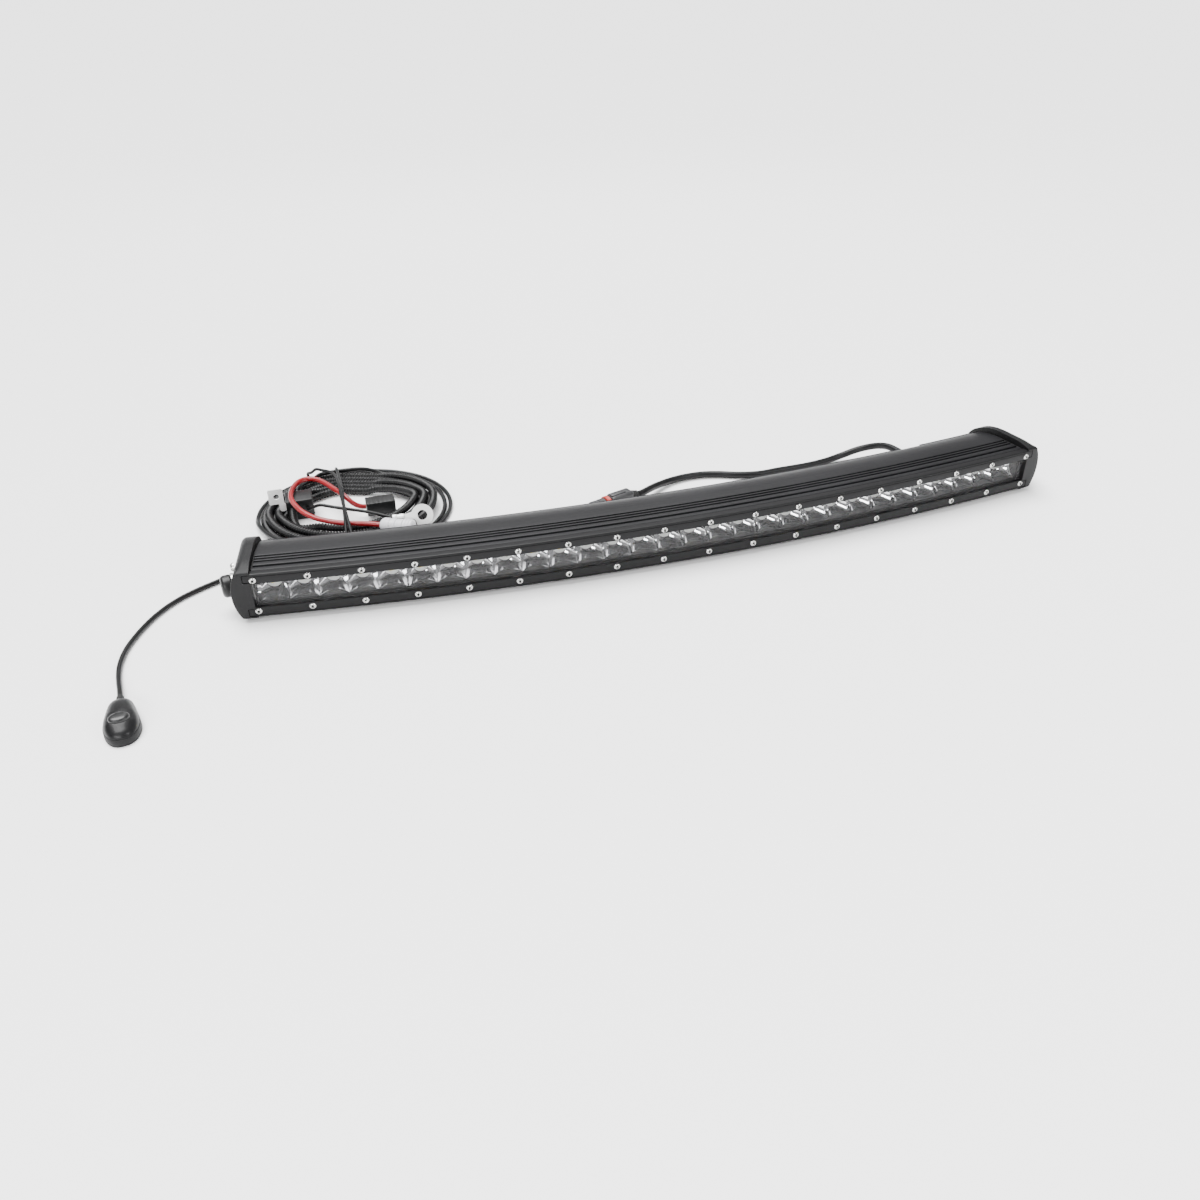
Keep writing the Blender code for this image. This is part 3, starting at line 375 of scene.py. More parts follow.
finishes = {
    "housing": housingFinish(),
    "bezel": bezelFinish(),
    "lens": lensFinish(),
    "seal": grainy("blackGasket", (0.004, 0.004, 0.004), (0.008, 0.008, 0.008), 0.75, grain=1400.0),
    "reflector": chromeFinish(),
    "led_board": boardFinish(),
    "phosphor": phosphorFinish(),
    "end_cap": grainy("castCap", (0.0045, 0.0045, 0.005), (0.007, 0.007, 0.0075), 0.50, 0.05, 1250.0, 0.00012,
                      specular=0.22),
    "stainless": metalFinish("stainlessSteel", (0.72, 0.72, 0.70), 0.24),
    "side_bolt": grainy("blackenedBolt", (0.003, 0.003, 0.0035), (0.006, 0.006, 0.0065), 0.42, 0.3, 800.0),
    "gland": grainy("glandNylon", (0.005, 0.005, 0.0055), (0.009, 0.009, 0.0095), 0.46, grain=900.0),
    "cable": grainy("cableJacket", (0.004, 0.004, 0.0045), (0.007, 0.007, 0.0075), 0.38, grain=500.0,
                    depth=0.00003, specular=0.22),
    "loom": grainy("loomTube", (0.004, 0.004, 0.0045), (0.007, 0.007, 0.0075), 0.38, grain=700.0,
                   specular=0.3),
    "connector": grainy("connectorNylon", (0.020, 0.020, 0.022), (0.032, 0.032, 0.034), 0.45, grain=900.0),
    "red_seal": grainy("redSeal", (0.30, 0.018, 0.010), (0.40, 0.030, 0.018), 0.45, grain=900.0),
    "relay": grainy("relayCase", (0.004, 0.004, 0.0045), (0.007, 0.007, 0.0075), 0.4, grain=1000.0,
                    specular=0.3),
    "plated_steel": grainy("zincPlate", (0.84, 0.84, 0.83), (0.93, 0.93, 0.92), 0.34, 0.35, 160.0, 0.00001),
    "fuse_holder": fuseFinish(),
    "red_wire": grainy("redJacket", (0.20, 0.0022, 0.005), (0.27, 0.004, 0.009), 0.33, grain=500.0,
                       depth=0.00003),
    "tie": grainy("tieCord", (0.003, 0.003, 0.0035), (0.005, 0.005, 0.0055), 0.5, grain=900.0, specular=0.2),
    "switch_shell": grainy("switchGloss", (0.003, 0.003, 0.0035), (0.006, 0.006, 0.0065), 0.42, grain=600.0,
                           depth=0.00002, coat=0.05, specular=0.24),
    "switch_button": grainy("buttonGloss", (0.005, 0.005, 0.0055), (0.009, 0.009, 0.0095), 0.34, grain=700.0,
                            depth=0.00002, coat=0.08, specular=0.4),
    "switch_board": grainy("greenBoard", (0.02, 0.12, 0.05), (0.03, 0.17, 0.07), 0.4),
    # painted shade: a near-black finish for discs at the bottom of the screw sockets
    "paintedPitShade": grainy("socketShade", (0.010, 0.010, 0.010), (0.020, 0.020, 0.020), 0.6, 0.3),
    # painted shade: a darker metal for the flat shelves inside the reflector cups
    "paintedShelfShade": grainy("cupShelf", (0.020, 0.020, 0.022), (0.045, 0.045, 0.048), 0.30, 0.6, 300.0, 0.00001),
    "podSkirt": grainy("skirtMatte", (0.005, 0.005, 0.0055), (0.008, 0.008, 0.0085), 0.55, grain=900.0,
                       specular=0.25),
}
print("materials made:", len(finishes))


# shared tools
def softCorners(outline, radius, steps=3, closed=True):
    # rounds the corners of an outline, each by no more than its shorter side allows
    made = []
    count = len(outline)
    for index, corner in enumerate(outline):
        here = Vector(corner)
        before = Vector(outline[index - 1]) - here
        after = Vector(outline[(index + 1) % count]) - here
        if (not closed and index in (0, count - 1)) or before.length < 1e-7 or after.length < 1e-7:
            made.append(tuple(here))
            continue
        turn = before.angle(after)
        if turn > math.radians(168):
            made.append(tuple(here))
            continue
        cut = min(radius / math.tan(turn / 2), 0.45 * before.length, 0.45 * after.length)
        first = here + before.normalized() * cut
        last = here + after.normalized() * cut
        for step in range(steps + 1):
            t = step / steps
            made.append(tuple(first * (1 - t) ** 2 + here * (2 * t * (1 - t)) + last * t ** 2))
    return made


def meshObject(name, bm, recalculate=True):
    if recalculate:
        bmesh.ops.recalc_face_normals(bm, faces=bm.faces)
    mesh = bpy.data.meshes.new(name)
    bm.to_mesh(mesh)
    bm.free()
    obj = bpy.data.objects.new(name, mesh)
    bpy.context.scene.collection.objects.link(obj)
    return obj


def shade(obj, sharpAngle=38):
    mesh = obj.data
    mesh.polygons.foreach_set("use_smooth", [True] * len(mesh.polygons))
    mesh.set_sharp_from_angle(angle=math.radians(sharpAngle))
    return obj


def applied(obj):
    # the object's modifiers worked into its mesh
    bpy.context.view_layer.update()
    evaluated = obj.evaluated_get(bpy.context.evaluated_depsgraph_get())
    mesh = bpy.data.meshes.new_from_object(evaluated)
    obj.modifiers.clear()
    obj.data = mesh
    return obj


def cutBy(obj, cutters, operation="DIFFERENCE"):
    for cutter in cutters:
        modifier = obj.modifiers.new(cutter.name, "BOOLEAN")
        modifier.operation = operation
        modifier.solver = "EXACT"
        modifier.object = cutter
    applied(obj)
    for cutter in cutters:
        bpy.data.objects.remove(cutter, do_unlink=True)
    return obj


def bevelled(obj, width, segments=3, angle=30):
    bevel = obj.modifiers.new("softEdges", "BEVEL")
    bevel.width = width
    bevel.segments = segments
    bevel.limit_method = "ANGLE"
    bevel.angle_limit = math.radians(angle)
    bevel.use_clamp_overlap = True
    return applied(obj)


def joined(name, objects):
    # several objects' meshes as one
    bm = bmesh.new()
    for obj in objects:
        bm.from_mesh(obj.data)
        bpy.data.objects.remove(obj, do_unlink=True)
    return meshObject(name, bm, recalculate=False)


def arcSweep(name, outline, start, end, stations=None):
    steps = stations or bar["stations"]
    first = start / bar["arcRadius"]
    centre = (0, bar["arcRadius"] - middleY, 0)
    bm = bmesh.new()
    verts = []
    for depth, height in outline:
        reach = bar["arcRadius"] - depth
        verts.append(bm.verts.new((reach * math.sin(first), centre[1] - reach * math.cos(first),
                                   height + bar["floor"])))
    edges = [bm.edges.new(pair) for pair in zip(verts, verts[1:] + verts[:1])]
    bmesh.ops.spin(bm, geom=verts + edges, cent=centre, axis=(0, 0, 1), dvec=(0, 0, 0),
                   angle=(end - start) / bar["arcRadius"], steps=steps, use_duplicate=False)
    bmesh.ops.holes_fill(bm, edges=[edge for edge in bm.edges if edge.is_boundary], sides=0)
    return meshObject(name, bm)


def mirrored(half):
    return half + [(depth, -height) for depth, height in reversed(half)]


def frameAt(place, direction, roll=0.0):
    # a matrix whose Z points along direction
    turn = Vector(direction).to_track_quat("Z", "Y").to_matrix().to_4x4()
    return Matrix.Translation(place) @ turn @ Matrix.Rotation(roll, 4, "Z")


def lathe(name, profile, matrix, segments=48):
    # a turned shape from (radius, height), closed on its axis
    bm = bmesh.new()
    verts = [bm.verts.new((radius, 0, height)) for radius, height in profile]
    edges = [bm.edges.new(pair) for pair in zip(verts, verts[1:])]
    bmesh.ops.spin(bm, geom=verts + edges, cent=(0, 0, 0), axis=(0, 0, 1), dvec=(0, 0, 0),
                   angle=math.tau, steps=segments, use_duplicate=False)
    bmesh.ops.remove_doubles(bm, verts=bm.verts, dist=1e-6)
    bmesh.ops.recalc_face_normals(bm, faces=bm.faces)
    bmesh.ops.transform(bm, matrix=matrix, verts=bm.verts)
    return meshObject(name, bm, recalculate=False)


def block(name, size, matrix, width=0.0, segments=2):
    bm = bmesh.new()
    bmesh.ops.create_cube(bm, size=1.0)
    bmesh.ops.scale(bm, vec=size, verts=bm.verts)
    if width:
        bmesh.ops.bevel(bm, geom=bm.edges[:] + bm.verts[:], offset=width, segments=segments, profile=0.5,
                        affect="EDGES")
    bmesh.ops.transform(bm, matrix=matrix, verts=bm.verts)
    return meshObject(name, bm, recalculate=False)


def prism(name, sides, radius, length, matrix):
    bm = bmesh.new()
    bmesh.ops.create_cone(bm, cap_ends=True, segments=sides, radius1=radius, radius2=radius, depth=length)
    bmesh.ops.transform(bm, matrix=matrix, verts=bm.verts)
    return meshObject(name, bm, recalculate=False)


def keep(obj, slotName, replaced=(), body="bar", finish=None):
    # finish, body and the plain parts that this piece stands for
    obj.data.materials.clear()
    obj.data.materials.append(finishes[finish or slotName])
    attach(obj, body)
    if replaced:
        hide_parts(*replaced)
    return obj


def outward(side, along):
    # the bar's own direction at one of its ends, pointing away from the middle
    angle = along / bar["arcRadius"]
    return Vector((side * math.cos(angle), side * math.sin(angle), 0))


# geometry node trees
class Tree:
    def __init__(self, name, inputs):
        self.group = bpy.data.node_groups.new(name, "GeometryNodeTree")
        sockets = self.group.interface
        sockets.new_socket("Geometry", in_out="INPUT", socket_type="NodeSocketGeometry")
        for label, kind, value in inputs:
            socket = sockets.new_socket(label, in_out="INPUT", socket_type=kind)
            if value is not None:
                socket.default_value = value
        sockets.new_socket("Geometry", in_out="OUTPUT", socket_type="NodeSocketGeometry")
        self.enter = self.group.nodes.new("NodeGroupInput")
        self.leave = self.group.nodes.new("NodeGroupOutput")

    def given(self, label):
        return self.enter.outputs[label]

    def node(self, kind, settings=None, inputs=None):
        node = self.group.nodes.new(kind)
        for key, value in (settings or {}).items():
            setattr(node, key, value)
        for key, value in (inputs or {}).items():
            if isinstance(value, bpy.types.NodeSocket):
                self.group.links.new(value, node.inputs[key])
            else:
                node.inputs[key].default_value = value
        return node

    def maths(self, operation, first, second=0.0):
        return self.node("ShaderNodeMath", {"operation": operation}, {0: first, 1: second}).outputs[0]

    def finish(self, geometry, material):
        real = self.node("GeometryNodeRealizeInstances", inputs={"Geometry": geometry})
        painted = self.node("GeometryNodeSetMaterial",
                            inputs={"Geometry": real.outputs[0], "Material": material})
        self.group.links.new(painted.outputs[0], self.leave.inputs[0])
        return self.group


def grown(obj, group, values):
    # runs a tree on an object and keeps the plain mesh that comes out
    modifier = obj.modifiers.new(group.name, "NODES")
    modifier.node_group = group
    for item in group.interface.items_tree:
        if item.item_type == "SOCKET" and item.in_out == "INPUT" and item.name in values:
            modifier[item.identifier] = values[item.name]
    bpy.context.view_layer.update()
    evaluated = obj.evaluated_get(bpy.context.evaluated_depsgraph_get())
    mesh = bpy.data.meshes.new_from_object(evaluated)
    name = obj.name
    bpy.data.objects.remove(obj, do_unlink=True)
    made = bpy.data.objects.new(name, mesh)
    bpy.context.scene.collection.objects.link(made)
    return made


def placingTree():
    # one copy of a part on each mark, its Z along the mark's facing
    tree = Tree("placeOnMarks", [("Part", "NodeSocketObject", None), ("Finish", "NodeSocketMaterial", None),
                                 ("Spin", "NodeSocketFloat", 0.0), ("Spin Seed", "NodeSocketInt", 7)])
    part = tree.node("GeometryNodeObjectInfo", inputs={"Object": tree.given("Part")})
    facing = tree.node("GeometryNodeInputNamedAttribute", {"data_type": "FLOAT_VECTOR"}, {"Name": "facing"})
    aim = tree.node("FunctionNodeAlignRotationToVector", {"axis": "Z"}, {"Vector": facing.outputs[0]})
    spin = tree.node("FunctionNodeRandomValue", {"data_type": "FLOAT"},
                     {2: 0.0, 3: tree.given("Spin"), "Seed": tree.given("Spin Seed")})
    twist = tree.node("FunctionNodeAxisAngleToRotation", inputs={"Axis": (0, 0, 1), "Angle": spin.outputs[1]})
    both = tree.node("FunctionNodeRotateRotation", {"rotation_space": "LOCAL"},
                     {0: aim.outputs[0], 1: twist.outputs[0]})
    copies = tree.node("GeometryNodeInstanceOnPoints", inputs={"Points": tree.given("Geometry"),
                                                               "Instance": part.outputs["Geometry"],
                                                               "Rotation": both.outputs[0]})
    return tree.finish(copies.outputs[0], tree.given("Finish"))


def ribbedTree():
    # a round tube along a curve, with rings standing up on it
    tree = Tree("ribbedTube", [("Radius", "NodeSocketFloat", 0.004), ("Rib Pitch", "NodeSocketFloat", 0.0024),
                               ("Rib Depth", "NodeSocketFloat", 0.12), ("Spacing", "NodeSocketFloat", 0.0005),
                               ("Sides", "NodeSocketInt", 10), ("Finish", "NodeSocketMaterial", None)])
    even = tree.node("GeometryNodeResampleCurve", {"mode": "LENGTH"},
                     {"Curve": tree.given("Geometry"), "Length": tree.given("Spacing")})
    place = tree.node("GeometryNodeSplineParameter")
    turns = tree.maths("DIVIDE", place.outputs["Length"], tree.given("Rib Pitch"))
    wave = tree.maths("SINE", tree.maths("MULTIPLY", turns, math.tau))
    step = tree.node("ShaderNodeClamp", inputs={0: tree.maths("MULTIPLY", wave, 2.2), 1: -1.0, 2: 1.0})
    raised = tree.maths("MULTIPLY", tree.maths("SUBTRACT", step.outputs[0], 1.0), tree.given("Rib Depth"))
    scale = tree.maths("ADD", 1.0, tree.maths("MULTIPLY", raised, 0.5))
    ring = tree.node("GeometryNodeCurvePrimitiveCircle",
                     inputs={"Resolution": tree.given("Sides"), "Radius": tree.given("Radius")})
    inputs = {"Curve": even.outputs[0], "Profile Curve": ring.outputs[0], "Fill Caps": True}
    tube = tree.node("GeometryNodeCurveToMesh")
    if "Scale" in tube.inputs:
        inputs["Scale"] = scale
    else:
        sized = tree.node("GeometryNodeSetCurveRadius", inputs={"Curve": even.outputs[0], "Radius": scale})
        inputs["Curve"] = sized.outputs[0]
    for key, value in inputs.items():
        if isinstance(value, bpy.types.NodeSocket):
            tree.group.links.new(value, tube.inputs[key])
        else:
            tube.inputs[key].default_value = value
    soft = tree.node("GeometryNodeSetShadeSmooth", inputs={"Geometry": tube.outputs[0]})
    return tree.finish(soft.outputs[0], tree.given("Finish"))


placeOnMarks = placingTree()
ribbedTube = ribbedTree()


def copiesOn(name, part, marks, slotName, replaced=(), finish=None, spin=0.0):
    mesh = bpy.data.meshes.new(name)
    mesh.from_pydata([tuple(place) for place, facing in marks], [], [])
    attribute = mesh.attributes.new("facing", "FLOAT_VECTOR", "POINT")
    attribute.data.foreach_set("vector", [number for place, facing in marks for number in facing])
    obj = bpy.data.objects.new(name, mesh)
    bpy.context.scene.collection.objects.link(obj)
    made = grown(obj, placeOnMarks, {"Part": part, "Finish": finishes[finish or slotName], "Spin": spin})
    bpy.data.objects.remove(part, do_unlink=True)
    return keep(made, slotName, replaced, finish=finish)


# the cords' routes
def pathLength(points):
    return sum((b - a).length for a, b in zip(points, points[1:]))


def evenly(points, spacing):
    # points about a spacing apart along a path
    total = pathLength(points)
    count = max(2, round(total / spacing))
    made = [points[0]]
    walked = 0.0
    for a, b in zip(points, points[1:]):
        step = (b - a).length
        while len(made) < count and walked + step >= len(made) * total / count:
            made.append(a.lerp(b, (len(made) * total / count - walked) / step))
        walked += step
    made.append(points[-1])
    return made


def smoothRoute(points, spacing):
    # one smooth curve through the route's own points
    ends = [points[0] * 2 - points[1]] + points + [points[-1] * 2 - points[-2]]
    fine = []
    for a, b, c, d in zip(ends, ends[1:], ends[2:], ends[3:]):
        for step in range(16):
            t = step / 16
            fine.append(0.5 * (2 * b + (c - a) * t + (2 * a - 5 * b + 4 * c - d) * t ** 2
                               + (3 * b - a - 3 * c + d) * t ** 3))
    fine.append(points[-1])
    return evenly(fine, spacing)


def smoothStep(value):
    # from nought to one, slow at both ends
    t = min(1.0, max(0.0, value))
    return t * t * (3 - 2 * t)


def plainCord(name, points, diameter, resolution=4):
    data = bpy.data.curves.new(name, "CURVE")
    data.dimensions = "3D"
    data.bevel_depth = diameter / 2
    data.bevel_resolution = resolution
    data.use_fill_caps = True
    spline = data.splines.new("POLY")
    spline.points.add(len(points) - 1)
    for point, place in zip(spline.points, points):
        point.co = (*place, 1.0)
    spline.use_smooth = True
    obj = bpy.data.objects.new(name, data)
    bpy.context.scene.collection.objects.link(obj)
    return obj


def floorRoute(*places):
    return [onFloor(*place) for place in places]


# the wiring: the loom's coil first, then what lies on it
coil = {
    "centre": (-0.277, 0.200),
    "reach": (0.094, 0.091),
    "turns": 5,
    "loomDiameter": 0.008,
    "ribPitch": 0.0029,
    "ribDepth": 0.20,
    "firstInset": 0.0090,
    "rearPitch": 0.0087,
    "frontPitch": 0.0070,
    "sidePitch": 0.00435,
    "clearance": 0.0083,
    "low": 0.0043,
    "shiftAngle": 21.0,
}


def coilPitch(swing):
    # how far apart the turns lie: swing is zero at the rear and grows clockwise
    end = coil["rearPitch"] if math.cos(swing) > 0 else coil["frontPitch"]
    return coil["sidePitch"] + (end - coil["sidePitch"]) * abs(math.cos(swing)) ** 0.8


def coilPoint(swing, inset, height):
    # a place on the ring, an inset in from its outer edge
    side, rise = math.sin(swing), math.cos(swing)
    edge = Vector((coil["centre"][0] + coil["reach"][0] * side,
                   coil["centre"][1] + coil["reach"][1] * rise, 0))
    normal = Vector((side / coil["reach"][0], rise / coil["reach"][1], 0)).normalized()
    place = edge - normal * inset
    return onFloor(place.x, place.y, height)


def loomTurns():
    # clockwise from the front, one slot further in each time the rear is passed
    made = []
    perTurn = 48
    first = -math.pi + math.radians(-4)
    last = first + math.tau * coil["turns"] + math.radians(45)
    count = round((last - first) / math.tau * perTurn)
    shift = math.radians(coil["shiftAngle"])
    for index in range(count + 1):
        swing = first + (last - first) * index / count
        passed = math.floor((swing + math.pi) / math.tau)
        local = swing - math.tau * passed
        slot = passed + smoothStep((local + shift) / (2 * shift))
        pitch = coilPitch(local)
        odd = 1 - abs(slot % 2 - 1)
        rise = math.sqrt(max(0.0, coil["clearance"] ** 2 - pitch ** 2)) * odd
        inset = coil["firstInset"] + slot * pitch
        made.append(coilPoint(swing, inset, coil["low"] + rise))
    return made


loomStart = floorRoute((-0.0616, 0.1099, 0.0096), (-0.0740, 0.1060, 0.0088), (-0.0900, 0.1028, 0.0062),
                       (-0.1080, 0.1008, 0.0045), (-0.1260, 0.0996, 0.0043), (-0.1440, 0.0990, 0.0043),
                       (-0.1620, 0.0992, 0.0043), (-0.1800, 0.1003, 0.0043), (-0.1980, 0.1028, 0.0043),
                       (-0.2150, 0.1063, 0.0043), (-0.2330, 0.1108, 0.0043), (-0.2500, 0.1150, 0.0043))
loomEnd = floorRoute((-0.3300, 0.1690, 0.0075), (-0.3345, 0.1800, 0.0085), (-0.3350, 0.1920, 0.0100),
                     (-0.3345, 0.2018, 0.0105))
loomRoute = smoothRoute(loomStart + loomTurns()[1:] + loomEnd, 0.0025)
print("loom route:", round(pathLength(loomRoute), 3), "m")


class Laid:
    # what already lies there, for the next cord to pass over

    def __init__(self):
        self.cords = []
        self.blocks = []

    def add(self, points, radius):
        self.cords.append((points, radius))

    def addBlock(self, centre, size):
        self.blocks.append((onFloor(*centre), size))

    def height(self, place, radius, gap=0.0003):
        best = radius + gap
        for points, other in self.cords:
            reach = radius + other + gap
            for point in points:
                across = (point.x - place.x) ** 2 + (point.y - place.y) ** 2
                if across < reach * reach:
                    best = max(best, point.z + math.sqrt(reach * reach - across))
        for centre, size in self.blocks:
            if all(abs(place[axis] - centre[axis]) < size[axis] / 2 + radius for axis in (0, 1)):
                best = max(best, centre.z + size[2] / 2 + radius + gap)
        return best


laid = Laid()
laid.add(loomRoute, coil["loomDiameter"] / 2)


def spread(values, reach, passes):
    # the highest value near each, then evened out
    high = [max(values[max(0, i - reach):i + reach + 1]) for i in range(len(values))]
    for _ in range(passes):
        high = [(before + 2 * here + after) / 4
                for before, here, after in zip(high[:1] + high, high, high[1:] + high[-1:])]
    return high


def tautOver(places, radius, spacing=0.003):
    # a tie pulled tight: the straight line over the high places of its route
    flat = smoothRoute([Vector((p.x, p.y, 0)) for p in places], spacing)
    heights = [laid.height(point, radius) for point in flat]
    hull = []
    for index, height in enumerate(heights):
        while len(hull) > 1:
            (i0, h0), (i1, h1) = hull[-2:]
            if (h1 - h0) * (index - i0) <= (height - h0) * (i1 - i0):
                hull.pop()
            else:
                break
        hull.append((index, height))
    made = []
    for (i0, h0), (i1, h1) in zip(hull, hull[1:]):
        for index in range(i0, i1):
            made.append(Vector((flat[index].x, flat[index].y, h0 + (h1 - h0) * (index - i0) / (i1 - i0))))
    made.append(Vector((flat[-1].x, flat[-1].y, heights[-1])))
    return made


def asMesh(obj):
    bpy.context.view_layer.update()
    evaluated = obj.evaluated_get(bpy.context.evaluated_depsgraph_get())
    mesh = bpy.data.meshes.new_from_object(evaluated)
    name = obj.name
    bpy.data.objects.remove(obj, do_unlink=True)
    made = bpy.data.objects.new(name, mesh)
    bpy.context.scene.collection.objects.link(made)
    mesh.polygons.foreach_set("use_smooth", [True] * len(mesh.polygons))
    return made


def makeLoom():
    path = plainCord("harnessLoom", loomRoute, coil["loomDiameter"])
    path.data.bevel_depth = 0.0
    made = grown(path, ribbedTube, {"Radius": coil["loomDiameter"] / 2, "Rib Pitch": coil["ribPitch"],
                                    "Rib Depth": coil["ribDepth"], "Spacing": 0.00052, "Sides": 12,
                                    "Finish": finishes["loom"]})
    made.name = "harnessLoom"
    print("loom faces:", len(made.data.polygons))
    return keep(made, "loom", ("harness_lead", "harness_coil"))


wiring = {
    "pigtail": 0.007,
    "switchLead": 0.0042,
    "powerWire": 0.005,
    "groundWire": 0.0032,
    "tie": 0.003,
    "plugTurn": 18.0,
    "plugStart": (-0.0020, 0.1294, 0.0096),
}


def makePigtail():
    leave = [onBar(bar["glandAlong"], depth, 0) for depth in (0.0510, 0.063, 0.077, 0.091)]
    lie = floorRoute((0.276, 0.123, 0.0245), (0.270, 0.138, 0.0195), (0.257, 0.149, 0.0125),
                     (0.240, 0.1525, 0.0065), (0.220, 0.150, 0.0040), (0.198, 0.147, 0.0037),
                     (0.178, 0.146, 0.0037), (0.160, 0.1455, 0.0037), (0.144, 0.1445, 0.0037),
                     (0.130, 0.146, 0.0037), (0.114, 0.151, 0.0037), (0.098, 0.158, 0.0037),
                     (0.081, 0.1625, 0.0037), (0.062, 0.1625, 0.0038), (0.046, 0.1590, 0.0042),
                     (0.034, 0.1530, 0.0055), (0.022, 0.1450, 0.0075), (0.0115, 0.1370, 0.0090),
                     (0.0050, 0.1324, 0.0095), (-0.0009, 0.1297, 0.0096))
    route = smoothRoute(leave + lie, 0.003)
    cord = plainCord("barLead", route, wiring["pigtail"], 6)
    return keep(cord, "cable", ("pigtail",)), route


def makePlug():
    start = onFloor(*wiring["plugStart"])
    turn = math.radians(wiring["plugTurn"])
    along = Vector((-math.cos(turn), -math.sin(turn), 0))
    up = Vector((0, 0, 1))
    base = Matrix.Translation(start) @ Matrix((up, along.cross(up), along)).transposed().to_4x4()
    shift = Matrix.Translation

    def at(distance):
        return base @ shift((0, 0, distance))

    boot = lathe("plugBoot", [(0, 0.0), (0.0043, 0.0), (0.0050, 0.0006), (0.0050, 0.0014), (0.0046, 0.0018),
                              (0.0054, 0.0026), (0.0056, 0.0034), (0.0051, 0.0038), (0.0058, 0.0046),
                              (0.0062, 0.0052), (0.0062, 0.0082), (0, 0.0082)], at(0), 48)
    shell = block("plugShell", (0.0180, 0.0133, 0.0262), at(0.0216), 0.0028, 4)
    ribs = [block(f"plugRib{index}", (0.0185, 0.0016, 0.0200), at(0.0225) @ shift((0, side * 0.0038, 0)),
                  0.0006, 2) for index, side in enumerate((-1, 1))]
    latch = block("plugLatch", (0.0030, 0.0064, 0.0170), at(0.0250) @ shift((0.0086, 0, 0)), 0.0008, 2)
    for extra in ribs + [latch]:
        cutBy(shell, [extra], "UNION")
    bevelled(shell, 0.0003, 2, 35)
    seal = lathe("plugSeal", [(0.0040, 0.0048), (0.0086, 0.0048), (0.0092, 0.0042), (0.0088, 0.0036),
                              (0.0092, 0.0030), (0.0088, 0.0024), (0.0092, 0.0018), (0.0092, 0.0006),
                              (0.0086, 0), (0.0040, 0), (0.0040, 0.0048)], at(0.0354), 56)
    socket = lathe("harnessSocket", [(0, 0.0210), (0.0044, 0.0210), (0.0053, 0.0206), (0.0056, 0.0190),
                                     (0.0064, 0.0160), (0.0078, 0.0153), (0.0082, 0.0146), (0.0082, 0.0096),
                                     (0.0077, 0.0092), (0.0077, 0.0072), (0.0082, 0.0068), (0.0082, 0.0006),
                                     (0.0076, 0), (0, 0)], at(0.0405), 56)
    return [keep(shade(boot), "seal", ("plug_boot",)), keep(shade(shell), "connector", ("plug_shell",)),
            keep(shade(seal), "red_seal", ("plug_seal",)), keep(shade(socket), "connector", ("socket_shell",))]


def plate(name, loops, thickness, matrix):
    # a flat stamped part from its edge and its openings
    data = bpy.data.curves.new(name, "CURVE")
    data.dimensions = "2D"
    data.fill_mode = "BOTH"
    data.extrude = thickness / 2
    for loop in loops:
        spline = data.splines.new("POLY")
        spline.points.add(len(loop) - 1)
        for point, place in zip(spline.points, loop):
            point.co = (place[0], place[1], 0, 1)
        spline.use_cyclic_u = True
    obj = bpy.data.objects.new(name, data)
    bpy.context.scene.collection.objects.link(obj)
    made = asMesh(obj)
    bm = bmesh.new()
    bm.from_mesh(made.data)
    bmesh.ops.remove_doubles(bm, verts=bm.verts, dist=1e-6)
    bmesh.ops.transform(bm, matrix=matrix, verts=bm.verts)
    bmesh.ops.recalc_face_normals(bm, faces=bm.faces)
    bm.to_mesh(made.data)
    bm.free()
    return made


def circle(centre, radius, count=24):
    return [(centre[0] + radius * math.cos(math.tau * index / count),
             centre[1] + radius * math.sin(math.tau * index / count)) for index in range(count)]


relay = {
    "place": (-0.327, 0.214),
    "case": ((0.026, 0.024, 0.0162), 0.0129),       # size, and the height of its middle
    "foot": ((0.0252, 0.0232, 0.0042), 0.0026),
    "lip": ((0.0262, 0.0242, 0.0008), 0.0050),
    "whole": ((0.026, 0.024, 0.0206), 0.0107),
    "tabPlace": (-0.3410, 0.2009, 0),
    "tabThick": 0.0012,
}
joinBlock = {
    "place": (-0.251, 0.186, 0.0115),
    "size": (0.028, 0.016, 0.014),
    "slots": 6,
    "slotPitch": 0.0044,
    "slotWidth": 0.0012,
}


def relayBlock(name, part, width, segments):
    size, height = relay[part]
    return block(name, size, Matrix.Translation(onFloor(*relay["place"], height)), width, segments)


def makeRelay():
    case = relayBlock("relayCase", "case", 0.0013, 3)
    cutBy(case, [relayBlock("relayFoot", "foot", 0.0006, 2), relayBlock("relayLip", "lip", 0.0002, 1)], "UNION")
    outline = softCorners([(-0.0140, 0.0368), (0, 0.0368), (0, 0.0212), (0.0010, 0.0204), (0.0010, 0.0130),
                           (-0.0050, 0.0130), (-0.0050, 0.0212), (-0.0140, 0.0212)], 0.0016, 4)
    upright = Matrix.Translation(onFloor(*relay["tabPlace"])) @ Matrix.Rotation(math.pi / 2, 4, "X")
    tab = plate("relayTab", [outline, circle((-0.0065, 0.0290), 0.0027)], relay["tabThick"], upright)
    bevelled(tab, 0.00015, 1, 50)
    x, y, z = joinBlock["place"]
    body = block("joinBlock", joinBlock["size"], Matrix.Translation(onFloor(x, y, z)), 0.001, 3)
    slot = joinBlock["slotWidth"]
    slots = []
    for index in range(joinBlock["slots"]):
        place = onFloor(x + joinBlock["slotPitch"] * (index - joinBlock["slots"] / 2 + 0.5), y, 0.0186)
        slots.append(block(f"joinSlot{index}", (slot, 0.02, slot), Matrix.Translation(place)))
    cutBy(body, slots)
    laid.addBlock((*relay["place"], relay["whole"][1]), relay["whole"][0])
    laid.addBlock(joinBlock["place"], joinBlock["size"])
    return [keep(shade(case), "relay", ("relay_body",)), keep(shade(tab), "plated_steel", ("relay_tab",)),
            keep(shade(body), "relay", ("wire_block",))]


